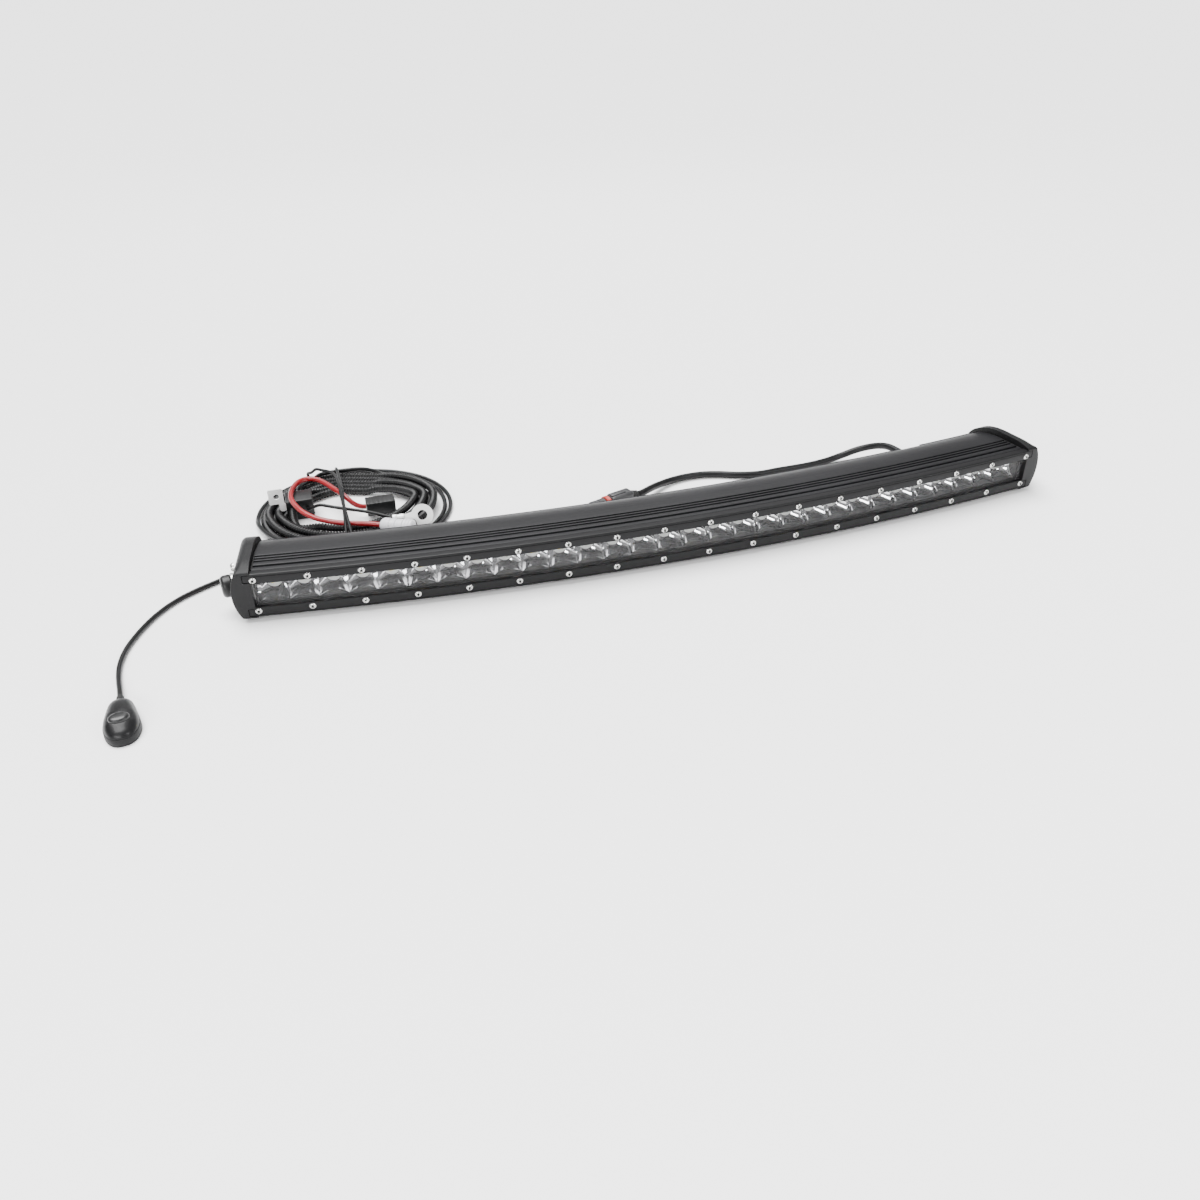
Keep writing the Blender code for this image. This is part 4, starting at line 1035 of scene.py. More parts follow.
def makeSwitchLead():
    # once and a half round the loom's outside, then off to the pod
    lead = floorRoute((-0.3270, 0.2268, 0), (-0.3262, 0.2340, 0), (-0.3235, 0.2450, 0),
                      (-0.3180, 0.2570, 0), (-0.3080, 0.2690, 0), (-0.2960, 0.2790, 0))
    turnsStart = math.radians(-2)
    turnsEnd = math.radians(360 + 206)
    steps = 58
    for index in range(2, steps + 1):
        swing = turnsStart + (turnsEnd - turnsStart) * index / steps
        whole = (swing - turnsStart) / math.tau
        bulge = max(0.0, math.sin(swing)) ** 2 * (1 if whole < 0.6 else 1.9)
        inset = 0.0046 * (1 - smoothStep((whole - 0.62) / 0.25)) - 0.0012 * bulge
        if index < 8:
            inset += 0.006 * (1 - index / 8)
        lead.append(coilPoint(swing, inset, 0))
    lead += floorRoute((-0.3480, 0.1235, 0), (-0.3625, 0.1215, 0), (-0.3770, 0.1160, 0), (-0.3910, 0.1100, 0),
                       (-0.4060, 0.1030, 0), (-0.4165, 0.0975, 0), (-0.4275, 0.0910, 0), (-0.4380, 0.0835, 0),
                       (-0.4480, 0.0740, 0), (-0.4560, 0.0640, 0), (-0.4620, 0.0550, 0), (-0.4685, 0.0430, 0),
                       (-0.4735, 0.0320, 0), (-0.4780, 0.0200, 0), (-0.4813, 0.0065, 0),
                       (-0.4829, -0.0075, 0), (-0.4827, -0.0200, 0), (-0.4816, -0.0310, 0),
                       (-0.4802, -0.0410, 0), (-0.4794, -0.0480, 0), (-0.4788, -0.0540, 0))
    diameter = wiring["switchLead"]
    lead = layOverSelf(lead, diameter / 2, 0.0150, 0.0050)
    laid.add(lead, diameter / 2)
    return keep(plainCord("switchLead", lead, diameter, 5), "cable", ("switch_lead",)), lead


def makePowerWire():
    # the red wire to the fuse holder
    power = floorRoute((-0.2655, 0.1865, 0), (-0.2715, 0.1866, 0), (-0.2775, 0.1886, 0), (-0.2835, 0.1960, 0),
                       (-0.2905, 0.2110, 0), (-0.2985, 0.2275, 0), (-0.3060, 0.2390, 0),
                       (-0.3145, 0.2440, 0), (-0.3235, 0.2405, 0), (-0.3300, 0.2290, 0),
                       (-0.3335, 0.2150, 0), (-0.3340, 0.2020, 0), (-0.3310, 0.1880, 0),
                       (-0.3250, 0.1740, 0), (-0.3160, 0.1620, 0), (-0.3040, 0.1530, 0),
                       (-0.2900, 0.1468, 0), (-0.2775, 0.1437, 0), (-0.2670, 0.1412, 0),
                       (-0.2570, 0.1370, 0))
    diameter = wiring["powerWire"]
    power = eased(tautOver(power, diameter / 2), 0.0120)
    laid.add(power, diameter / 2)
    return keep(plainCord("powerWire", power, diameter, 5), "red_wire", ("power_wire",)), power


def makeGroundWire():
    ground = floorRoute((-0.3198, 0.2016, 0), (-0.3193, 0.1962, 0), (-0.3160, 0.1905, 0),
                        (-0.3105, 0.1866, 0), (-0.3030, 0.1824, 0), (-0.2940, 0.1772, 0),
                        (-0.2840, 0.1722, 0), (-0.2740, 0.1676, 0), (-0.2630, 0.1616, 0),
                        (-0.2530, 0.1545, 0), (-0.2432, 0.1468, 0))
    diameter = wiring["groundWire"]
    ground = eased(tautOver(ground, diameter / 2), 0.0120)
    laid.add(ground, diameter / 2)
    return keep(plainCord("groundWire", ground, diameter, 5), "cable", ("ground_wire",)), ground


def eased(points, first):
    # starts a route at its own height and evens the rest out
    heights = spread([point.z for point in points], 2, 8)
    ease = 8
    for index in range(ease):
        t = smoothStep(index / ease)
        heights[index] = first * (1 - t) + heights[index] * t
    return [Vector((point.x, point.y, height)) for point, height in zip(points, heights)]


def layOverSelf(places, radius, first, last):
    # laid on what is there already, the later part of the route over its own earlier part
    flat = smoothRoute([Vector((p.x, p.y, 0)) for p in places], 0.003)
    heights = []
    for index, point in enumerate(flat):
        high = laid.height(point, radius)
        for other in range(0, max(0, index - 24)):
            across = (flat[other].x - point.x) ** 2 + (flat[other].y - point.y) ** 2
            reach = 2 * radius + 0.0003
            if across < reach * reach:
                high = max(high, heights[other] + math.sqrt(reach * reach - across))
        heights.append(high)
    heights = spread(heights, 5, 10)
    ease = 12
    for index in range(ease):
        t = smoothStep(index / ease)
        heights[index] = first * (1 - t) + heights[index] * t
        heights[-1 - index] = last * (1 - t) + heights[-1 - index] * t
    return [Vector((point.x, point.y, height)) for point, height in zip(flat, heights)]


def makeFuse(end):
    heading = (onFloor(-0.2270, 0.1185, 0.0010) - onFloor(-0.2570, 0.1370, 0)).normalized()
    matrix = frameAt(end + heading * 0.0009, heading)
    body = lathe("fuseBody", [(0, 0.0230), (0.0067, 0.0230), (0.0072, 0.0226), (0.0072, 0.0180),
                              (0.0066, 0.0176), (0.0066, 0.0160), (0.0072, 0.0156), (0.0072, 0.0120),
                              (0.0066, 0.0116), (0.0066, 0.0100), (0.0072, 0.0096), (0.0072, 0.0040),
                              (0.0060, 0.0015), (0.0043, 0), (0, 0)], matrix, 40)
    cover = lathe("fuseCap", [(0, 0.0105), (0.0043, 0.0105), (0.0055, 0.0100), (0.0070, 0.0092),
                              (0.0076, 0.0082), (0.0076, 0.0066), (0.0072, 0.0062), (0.0076, 0.0058),
                              (0.0076, 0.0036), (0.0072, 0.0032), (0.0076, 0.0028), (0.0076, 0.0004),
                              (0.0072, 0), (0, 0)], matrix @ Matrix.Translation((0, 0, 0.0233)), 40)
    return [keep(shade(body), "fuse_holder", ("fuse_holder",)),
            keep(shade(cover), "fuse_holder", ("fuse_cap",))]


ring = {
    "facing": (-0.10, -0.88, 0.46),
    "barrelAlong": (-1, 0.10, 0),
    "radius": 0.0105,
    "hole": 0.0047,
    "thick": 0.0014,
    "openAngle": 22,            # half the angle that the barrel's neck takes out of the round
    "neck": 0.0026,
    "reach": 0.0272,            # from the wire's end to the hole's middle
}


def makeRing(end):
    facing = Vector(ring["facing"]).normalized()
    side = -Vector(ring["barrelAlong"]).normalized()
    up = facing.cross(side)
    outline = []
    for index in range(49):
        angle = math.radians(ring["openAngle"]) + math.radians(360 - 2 * ring["openAngle"]) * index / 48
        outline.append((-ring["radius"] * math.cos(angle), ring["radius"] * math.sin(angle)))
    outline += [(-0.0150, -ring["neck"]), (-0.0180, -ring["neck"]), (-0.0180, ring["neck"]),
                (-0.0150, ring["neck"])]
    turn = Matrix((side, up, facing)).transposed().to_4x4()
    made = plate("ringPlate", [outline, circle((0, 0), ring["hole"], 36)], ring["thick"],
                 Matrix.Translation(end + side * ring["reach"]) @ turn)
    crimp = lathe("ringBarrel", [(0.0020, 0), (0.0028, 0), (0.0031, 0.0004), (0.0031, 0.0036),
                                 (0.0027, 0.0044), (0.0027, 0.0062), (0.0031, 0.0070), (0.0031, 0.0106),
                                 (0.0026, 0.0112), (0.0020, 0.0112), (0.0020, 0)],
                  frameAt(end - side * 0.0012, side), 28)
    cutBy(made, [crimp], "UNION")
    return keep(shade(made), "plated_steel", ("ring_terminal",))


def makeTies():
    routes = (floorRoute((-0.2845, 0.2905, 0), (-0.2845, 0.2700, 0), (-0.2845, 0.2450, 0),
                         (-0.2850, 0.2050, 0), (-0.2875, 0.1600, 0), (-0.2910, 0.1110, 0)),
              floorRoute((-0.3140, 0.2880, 0), (-0.3060, 0.2770, 0), (-0.2905, 0.2530, 0),
                         (-0.2868, 0.2200, 0), (-0.2872, 0.1750, 0), (-0.2850, 0.1110, 0)))
    for number, route in enumerate(routes):
        over = tautOver(route, wiring["tie"] / 2)
        first, last = over[0], over[-1]
        lift = 0.0034 * number
        over = [Vector((point.x, point.y, point.z + lift)) for point in over]
        down = [Vector((first.x, first.y + 0.0022, height)) for height in (0.0020, 0.0050, 0.0078)]
        foot = [Vector((last.x, last.y - 0.0024, height)) for height in (0.0090, 0.0055, 0.0020)]
        route = smoothRoute(down + over[2:-2:3] + foot, 0.0016)
        keep(plainCord(f"coilTie{number + 1}", route, wiring["tie"], 4), "tie",
             ("coil_tie",) if number == 0 else ())


loomPiece = makeLoom()
barLead, barLeadRoute = makePigtail()
plugPieces = makePlug()
relayPieces = makeRelay()
switchCord, switchRoute = makeSwitchLead()
powerCord, powerRoute = makePowerWire()
groundCord, groundRoute = makeGroundWire()
fusePieces = makeFuse(powerRoute[-1])
ringPiece = makeRing(groundRoute[-1])
makeTies()
for label, route in (("switch lead", switchRoute), ("power wire", powerRoute), ("ground wire", groundRoute),
                     ("bar lead", barLeadRoute)):
    print(label, "made:", round(pathLength(route), 3), "m")


# the housing
housingSizes = {
    "end": 0.3755,
    "front": 0.0071,
    "channelHalf": 0.0132,
    "ledge": 0.0094,
    "pocketHalf": 0.0186,
    "webFront": 0.0272,
    "webRear": 0.0327,
    "pocketRear": 0.090,        # the pockets in the fins run past their tips
    "roundStart": 0.034,
    "roundLength": 0.049,
    "topTip": 0.068,
    "wall": 0.0026,
    "finPitch": 0.0054,
    "finHalf": 0.001,
    "grooves": ((0.01375, 0.0029, 0.003), (0.0218, 0.0021, 0.002), (0.0262, 0.0021, 0.002),
                (0.0306, 0.0021, 0.002)),
}


def roundedHeight(depth):
    share = (depth - housingSizes["roundStart"]) / housingSizes["roundLength"]
    return bar["halfHeight"] * math.sqrt(1 - share ** 2)


def roundedDepth(height):
    share = math.sqrt(1 - (height / bar["halfHeight"]) ** 2)
    return housingSizes["roundStart"] + housingSizes["roundLength"] * share


def makeHousing():
    size = housingSizes
    high = bar["halfHeight"]
    half = [(size["webFront"], size["channelHalf"]), (size["ledge"], size["channelHalf"]),
            (size["ledge"], size["pocketHalf"]), (size["front"], size["pocketHalf"]), (size["front"], high)]
    for centre, width, deep in size["grooves"]:
        half += [(centre - width / 2, high), (centre - width / 2, high - deep),
                 (centre + width / 2, high - deep), (centre + width / 2, high)]
    steps = 12
    outer = [size["roundStart"] + (size["topTip"] - size["roundStart"]) * step / steps
             for step in range(steps + 1)]
    half += [(depth, roundedHeight(depth)) for depth in outer]
    half += [(depth - size["wall"] / 2, roundedHeight(depth) - size["wall"]) for depth in reversed(outer[3:])]
    half.append((size["webRear"], high - size["wall"] - 0.001))
    for height in (2 * size["finPitch"], size["finPitch"]):
        tip = roundedDepth(height)
        half += [(size["webRear"], height + size["finHalf"]), (tip, height + size["finHalf"] * 0.8),
                 (tip, height - size["finHalf"] * 0.8), (size["webRear"], height - size["finHalf"])]
    half += [(size["webRear"], size["finHalf"]), (roundedDepth(0), size["finHalf"] * 0.8)]
    outline = softCorners(mirrored(half), 0.0005, 2)
    housing = arcSweep("housingExtrusion", outline, -size["end"], size["end"])
    cutters = []
    for side in (-1, 1):
        for height in (0.0125, -0.0125):
            matrix = frameAt(onBar(side * 0.3695, 0.02995, height), outward(side, 0.3695))
            cutters.append(prism("screwHole", 20, 0.0016, 0.014, matrix))
    for along, width, hole in ((bar["glandAlong"], 0.026, 0.0063), (-bar["glandAlong"], 0.020, 0.0037)):
        turn = Matrix.Rotation(along / bar["arcRadius"], 4, "Z")
        middle = (size["webRear"] + size["pocketRear"]) / 2
        cutters.append(block("finPocket", (width, size["pocketRear"] - size["webRear"], 0.0236),
                             Matrix.Translation(onBar(along, middle, 0)) @ turn, 0.0012, 3))
        back = Vector((-math.sin(along / bar["arcRadius"]), math.cos(along / bar["arcRadius"]), 0))
        cutters.append(prism("webHole", 32, hole, 0.008, frameAt(onBar(along, 0.03, 0), back)))
    cutBy(housing, cutters)
    print("housing faces:", len(housing.data.polygons))
    return keep(shade(housing, 32), "housing", ("housing",))


# the strips that clamp the lens, and their screws
bezel = {
    "end": 0.3768,
    "inner": 0.0113,
    "thick": 0.004,
    "flange": 0.0068,
    "tabEnd": 0.3828,
    "screws": 18,
    "screwHeight": 0.01485,
    "headRadius": 0.0029,
    "head": 0.0013,
    "recess": 0.00150,
}


def makeBezels():
    high = bar["halfHeight"]
    half = [(0.0005, bezel["inner"]), (0, bezel["inner"] + 0.0005), (0, 0.0181), (0.0005, 0.0184),
            (0.0005, 0.0189), (0, 0.0192), (0, high - 0.0011), (0.0004, high - 0.0003), (0.0013, high),
            (bezel["flange"], high), (bezel["flange"], high - 0.0017), (bezel["thick"], high - 0.0017),
            (bezel["thick"], bezel["inner"])]
    made = []
    for name, sign in (("upper", 1), ("lower", -1)):
        outline = softCorners([(depth, sign * height) for depth, height in half], 0.00025, 2)
        strip = arcSweep(f"{name}Bezel", outline, -bezel["end"], bezel["end"])
        tabOutline = softCorners([(0.0002, sign * 0.0131), (0.0002, sign * 0.0196),
                                  (0.0038, sign * 0.0196), (0.0038, sign * 0.0131)], 0.0006, 2)
        tabs = []
        for side in (-1, 1):
            near, far = side * (bezel["end"] - 0.0015), side * bezel["tabEnd"]
            tabs.append(arcSweep("tab", tabOutline, min(near, far), max(near, far), 2))
        cutBy(strip, tabs, "UNION")
        made.append(keep(shade(strip, 30), "bezel", (f"{name}_bezel",)))
    return made


def buttonScrew(name, radius, head, recess, shank, matrix, segments=24):
    # a button head with a hexagon socket
    profile = [(0, head - 0.0014), (recess, head - 0.0014), (recess, head - 0.00015), (recess + 0.0002, head),
               (radius * 0.66, head * 0.93), (radius * 0.85, head * 0.66), (radius * 0.97, head * 0.3),
               (radius, 0.0003), (0.0012, 0.0003), (0.0012, -shank), (0, -shank)]
    bm = bmesh.new()
    rings = []
    for distance, height in profile:
        ring = []
        for index in range(segments if distance else 1):
            angle = math.tau * index / segments
            reach = distance
            if distance == recess:
                reach *= math.cos(math.pi / 6) / math.cos(angle % (math.pi / 3) - math.pi / 6)
            ring.append(bm.verts.new((reach * math.cos(angle), reach * math.sin(angle), height)))
        rings.append(ring)
    for lower, upper in zip(rings, rings[1:]):
        for index in range(segments):
            after = (index + 1) % segments
            corners = [lower[index % len(lower)], lower[after % len(lower)], upper[after % len(upper)],
                       upper[index % len(upper)]]
            unique = [vert for place, vert in enumerate(corners) if vert not in corners[:place]]
            bm.faces.new(unique)
    bmesh.ops.recalc_face_normals(bm, faces=bm.faces)
    bmesh.ops.transform(bm, matrix=matrix, verts=bm.verts)
    return shade(meshObject(name, bm, recalculate=False), 35)


def makeBezelScrews():
    part = buttonScrew("screwPart", bezel["headRadius"], bezel["head"], bezel["recess"], 0.0036, Matrix(), 18)
    marks = []
    pitch = lensLength / (bezel["screws"] - 1)
    for sign in (1, -1):
        for index in range(bezel["screws"]):
            along = (index - (bezel["screws"] - 1) / 2) * pitch
            angle = along / bar["arcRadius"]
            marks.append((onBar(along, 0, sign * bezel["screwHeight"]),
                          (math.sin(angle), -math.cos(angle), 0.0)))
    names = [f"bezel_screw_{level}_{end}" for level in ("upper", "lower") for end in ("left", "right")]
    # thin near-black hex discs at the bottom of each socket: painted shade for the shadow deep in the recess
    pit = prism("pitPart", 6, bezel["recess"] * 0.93, 0.0003,
                Matrix.Translation((0, 0, bezel["head"] - 0.00125)))
    copiesOn("bezelScrewPits", pit, marks, "stainless", finish="paintedPitShade", spin=math.tau)
    return copiesOn("bezelScrews", part, marks, "stainless", names, spin=math.tau)


# the lens and the optics
optics = {
    "lensHalf": 0.0184,
    "lensFront": 0.0043,
    "lensThick": 0.003,
    "windowHalf": 0.0136,
    "reflectorFront": 0.0107,
    "reflectorHalf": 0.0129,
    "cupHalf": 0.0122,
    "vertex": 0.0273,
    "focus": 0.0048,
    "boardFront": 0.0253,
    "boardThick": 0.0016,
    "modules": 6,
    "endReach": 0.0030,
    "lampSize": 0.0078,
}


def makeLens():
    front, half = optics["lensFront"], optics["lensHalf"]
    sheet = softCorners(mirrored([(front, half), (front + optics["lensThick"], half)]), 0.0004, 2)
    lens = arcSweep("lensSheet", sheet, -bezel["end"] + 0.0003, bezel["end"] - 0.0003)
    return keep(shade(lens, 30), "lens", ("lens",))


def makeLensGasket():
    front = optics["lensFront"] + optics["lensThick"] + 0.0003
    rear = front + 0.0015
    half = optics["lensHalf"] - 0.0004
    frame = arcSweep("lensSeal", softCorners(mirrored([(front, half), (rear, half)]), 0.0003, 1),
                     -housingSizes["end"] - 0.001, housingSizes["end"] + 0.001)
    opening = optics["windowHalf"]
    window = arcSweep("window", mirrored([(front - 0.002, opening), (rear + 0.002, opening)]),
                      -housingSizes["end"] - 0.0001, housingSizes["end"] + 0.0001)
    cutBy(frame, [window])
    return keep(shade(frame), "seal", ("lens_gasket",))


def makeModules():
    size = optics
    cells = bar["cellsPerModule"]
    shrink = 1 - (size["boardFront"] + size["boardThick"]) / bar["arcRadius"]
    length = bar["cellPitch"] * cells * shrink - 0.0002
    offsets = [(index - (cells - 1) / 2) * bar["cellPitch"] * shrink for index in range(cells)]
    deep = size["boardFront"] - 0.0003 - size["reflectorFront"]
    form = block("reflectorForm", (length, deep, 2 * size["reflectorHalf"]),
                 Matrix.Translation((0, size["reflectorFront"] + deep / 2, 0)))
    rings = 22
    front, rear = size["reflectorFront"] - 0.001, size["boardFront"] + 0.001
    cups = []
    for offset in offsets:
        profile = [(0, front)]
        for ring in range(rings + 1):
            depth = front + (rear - front) * (ring / rings) ** 0.8
            profile.append((math.sqrt(4 * size["focus"] * (size["vertex"] - depth)), depth))
        profile.append((0, rear))
        heights = [(radius, -depth) for radius, depth in profile]
        facing = Matrix.Translation((offset, 0, 0)) @ Matrix.Rotation(math.pi / 2, 4, "X")
        cup = lathe("cup", heights, facing, 72)
        slab = block("slab", (0.06, 0.06, 2 * size["cupHalf"]), Matrix.Translation((offset, 0.018, 0)))
        cups.append(cutBy(cup, [slab], "INTERSECT"))
    cutBy(form, cups)
    bevelled(form, 0.00022, 2, 40)
    shade(form, 32)
    board = block("boardForm", (length, size["boardThick"], 2 * size["reflectorHalf"]),
                  Matrix.Translation((0, size["boardFront"] + size["boardThick"] / 2, 0)), 0.0002, 1)
    made = []
    marks = []
    for index in range(size["modules"]):
        along = (index - (size["modules"] - 1) / 2) * bar["cellPitch"] * cells
        place = Matrix.Translation(onBar(along, 0, 0)) @ Matrix.Rotation(along / bar["arcRadius"], 4, "Z")
        for name, source, slotName, node in (("reflector", form, "reflector", "reflector"),
                                             ("lampBoard", board, "led_board", "led_board")):
            mesh = source.data.copy()
            if name == "reflector" and index in (0, size["modules"] - 1):
                side = -1 if index == 0 else 1
                for vert in mesh.vertices:
                    if side * vert.co.x > length / 2 - 0.0006:
                        vert.co.x += side * size["endReach"]
            mesh.transform(place)
            copy = bpy.data.objects.new(f"{name}{index + 1}", mesh)
            bpy.context.scene.collection.objects.link(copy)
            if name == "reflector" and index in (0, size["modules"] - 1):
                wallFront = size["lensFront"] + size["lensThick"] + 0.0004
                wallDeep = size["boardFront"] - 0.0005 - wallFront
                at = (side * (length / 2 + size["endReach"] - 0.0004), wallFront + wallDeep / 2, 0)
                copy = joined(copy.name, [copy, block("endWall", (0.0008, wallDeep, 2 * size["cupHalf"]),
                                                      place @ Matrix.Translation(at))])
            made.append(keep(copy, slotName, (f"{node}_{index + 1}",)))
            if name == "reflector":
                # the cups' flat top and bottom shelves get the darker finish: painted shade on the same
                # metallised surface
                copy.data.materials.append(finishes["paintedShelfShade"])
                for face in copy.data.polygons:
                    off = abs(face.center.z - onBar(0, 0, 0).z)
                    if abs(face.normal.z) > 0.97 and off < size["cupHalf"] + 0.0003:
                        face.material_index = 1
        angle = along / bar["arcRadius"]
        for offset in offsets:
            marks.append((place @ Vector((offset, size["boardFront"], 0)),
                          (math.sin(angle), -math.cos(angle), 0.0)))
    for source in (form, board):
        bpy.data.objects.remove(source, do_unlink=True)
    lamp = size["lampSize"]
    base = block("lampBase", (lamp, lamp, 0.0008), Matrix.Translation((0, 0, 0.0003)), 0.00015, 2)
    chip = block("lampChip", (lamp * 0.66, lamp * 0.66, 0.0005), Matrix.Translation((0, 0, 0.00085)),
                 0.0002, 2)
    copiesOn("lampBases", shade(base), marks, "led_board")
    copiesOn("lampChips", shade(chip), marks, "led_board", finish="phosphor")
    return made


# the end caps
cap = {
    "inner": 0.3771,
    "bulgeOut": 0.3947,
    "bulgeRadius": 0.0453,
    "frontHalf": 0.0223,
    "half": 0.0255,
    "flat": (0.020, 0.042),
    "rim": 0.0040,
    "frontRim": 0.0012,
    "spotFace": 0.3936,
    "boltDepth": 0.022,
    "screwDepth": 0.02995,
    "screwHeight": 0.0125,
    "screwSeat": 0.3934,
    "edgeStep": 0.0007,
}


def capHalf():
    # the upper half of the side view, from the middle of the front face to the tip behind
    sharp = [(0.0, 0.0), (0.0, cap["frontHalf"] - 0.0012), (0.0012, cap["frontHalf"])]
    rise = []
    for step in range(1, 10):
        t = step / 10
        swell = math.sin(t * math.pi / 2) ** 0.9
        rise.append((0.0012 + (cap["flat"][0] - 0.0012) * t,
                     cap["frontHalf"] + (cap["half"] - cap["frontHalf"]) * swell))
    outline = sharp + rise + [(cap["flat"][0], cap["half"]), (cap["flat"][1], cap["half"])]
    steps = 26
    for step in range(1, steps):
        angle = math.pi / 2 * step / steps
        outline.append((cap["flat"][1] + (bar["capDepth"] - cap["flat"][1]) * math.sin(angle) ** 1.15,
                        cap["half"] * math.cos(angle) ** 0.9))
    outline += [(bar["capDepth"], 0.002), (bar["capDepth"], 0.0)]
    ends = [(0, -0.001)], [(bar["capDepth"], -0.001)]
    rounded = softCorners(ends[0] + outline + ends[1], 0.0010, 4, closed=False)[1:-1]
    return evenly([Vector(point) for point in rounded if point[1] >= -1e-9], cap["edgeStep"])


def makeCap(side, name):
    half = capHalf()
    half[0].y = half[-1].y = 0.0
    outline = half + [Vector((point.x, -point.y)) for point in reversed(half[1:-1])]
    count = len(outline)
    inward = []
    for index in range(count):
        run = (outline[(index + 1) % count] - outline[index - 1]).normalized()
        inward.append(Vector((run.y, -run.x)))
    if inward[count // 4].y > 0:
        inward = [-direction for direction in inward]
    spine = (0.017, 0.060)

    def bulgeAt(height):
        return cap["bulgeOut"] - cap["bulgeRadius"] + math.sqrt(cap["bulgeRadius"] ** 2 - height ** 2)

    def ringOf(places, reaches):
        return [onBar(side * reach, place.x, place.y) for place, reach in zip(places, reaches)]

    def rimAt(place):
        # the front edge is crisp, the others are well rounded
        return cap["frontRim"] + (cap["rim"] - cap["frontRim"]) * smoothStep((place.x - 0.0004) / 0.0070)

    rims = [rimAt(place) for place in outline]
    rims = [min(rim, 0.7 * max(0.0016, abs(place.y))) for rim, place in zip(rims, outline)]
    rings = [ringOf(outline, [cap["inner"]] * count)]
    outerAt = [bulgeAt(place.y * 0.985) for place in outline]
    for share in (0.35, 0.7):
        rings.append(ringOf(outline, [cap["inner"] + (outer - rim - cap["inner"]) * share
                                      for outer, rim in zip(outerAt, rims)]))
    for step in range(7):
        angle = math.pi / 2 * step / 6
        places = [place + direction * rim * (1 - math.cos(angle))
                  for place, direction, rim in zip(outline, inward, rims)]
        rings.append(ringOf(places, [bulgeAt(place.y) - rim * (1 - math.sin(angle))
                                     for place, rim in zip(places, rims)]))
    inner = [place + direction * rim for place, direction, rim in zip(outline, inward, rims)]
    layers = 12
    for layer in range(1, layers + 1):
        share = layer / layers
        places = [place.lerp(Vector((min(max(place.x, spine[0]), spine[1]), 0.0)), share) for place in inner]
        rings.append(ringOf(places, [bulgeAt(place.y) for place in places]))
    bm = bmesh.new()
    verts = [[bm.verts.new(place) for place in ring] for ring in rings]
    for lower, upper in zip(verts, verts[1:]):
        for index in range(count):
            after = (index + 1) % count
            bm.faces.new((lower[index], lower[after], upper[after], upper[index]))
    bm.faces.new(verts[0])
    bmesh.ops.remove_doubles(bm, verts=bm.verts, dist=2e-6)
    bmesh.ops.dissolve_degenerate(bm, dist=1e-6, edges=bm.edges)
    made = meshObject(f"{name}Cap", bm)
    turn = Matrix.Rotation(side * 0.385 / bar["arcRadius"], 4, "Z")
    cutters = [block("cavity", (0.018, 0.048, 0.016),
                     Matrix.Translation(onBar(side * cap["inner"], 0.040, 0)) @ turn)]

    def hole(depth, height, radius, start, end, segments):
        middle = side * (start + end) / 2
        cutters.append(prism("hole", segments, radius, end - start,
                             frameAt(onBar(middle, depth, height), outward(side, abs(middle)))))

    hole(cap["boltDepth"], 0, 0.0112, cap["spotFace"], 0.402, 64)
    hole(cap["boltDepth"], 0, 0.0043, 0.380, 0.400, 32)
    for sign in (1, -1):
        hole(cap["screwDepth"], sign * cap["screwHeight"], 0.0018, 0.374, 0.400, 24)
        hole(cap["screwDepth"], sign * cap["screwHeight"], 0.0045, 0.3920, 0.400, 32)
        cutters.append(block("notch", (0.0140, 0.0092, 0.0076),
                             Matrix.Translation(onBar(side * 0.3764, 0.0, sign * 0.01635)) @ turn, 0.0004, 2))
    cutBy(made, cutters)
    return keep(shade(made, 30), "end_cap", (f"{name}_end_cap",))


def makeEndHardware(side, name):
    for sign, level in ((1, "upper"), (-1, "lower")):
        seat = cap["screwSeat"]
        matrix = frameAt(onBar(side * seat, cap["screwDepth"], sign * cap["screwHeight"]),
                         outward(side, seat), 0.4 * sign)
        screw = buttonScrew(f"{name}EndScrew{level.title()}", 0.0040, 0.0036, 0.0017, 0.0240, matrix, 36)
        keep(screw, "stainless", (f"end_screw_{name}_{level}",))
    at = cap["spotFace"] + 0.0003
    matrix = frameAt(onBar(side * at, cap["boltDepth"], 0), outward(side, at))
    washer = lathe(f"{name}SideWasher", [(0.0043, 0.0002), (0.0043, 0.0027), (0.0045, 0.0029),
                                         (0.0101, 0.0029), (0.0105, 0.0025), (0.0105, 0.0004), (0.0101, 0),
                                         (0.0045, 0), (0.0043, 0.0002)], matrix, 72)
    keep(shade(washer), "stainless", (f"{name}_side_washer",))
    at += 0.0015
    matrix = frameAt(onBar(side * at, cap["boltDepth"], 0), outward(side, at))
    profile = [(0, 0.0102), (0.0050, 0.0102)]
    for step in range(9):
        angle = math.pi / 2 * step / 8
        profile.append((0.0062 + 0.0034 * math.sin(angle), 0.0068 + 0.0034 * math.cos(angle)))
    profile += [(0.0096, 0.0026), (0.0095, 0.0020), (0.0090, 0.0016), (0.0039, 0.0016), (0.0039, -0.011),
                (0, -0.011)]
    bolt = lathe(f"{name}SideBolt", profile, matrix, 72)
    keep(shade(bolt, 50), "side_bolt", (f"{name}_side_bolt",))


def onBack(along):
    # a matrix on the web behind the fins, its Z pointing back
    angle = along / bar["arcRadius"]
    return frameAt(onBar(along, housingSizes["webRear"], 0), Vector((-math.sin(angle), math.cos(angle), 0)))


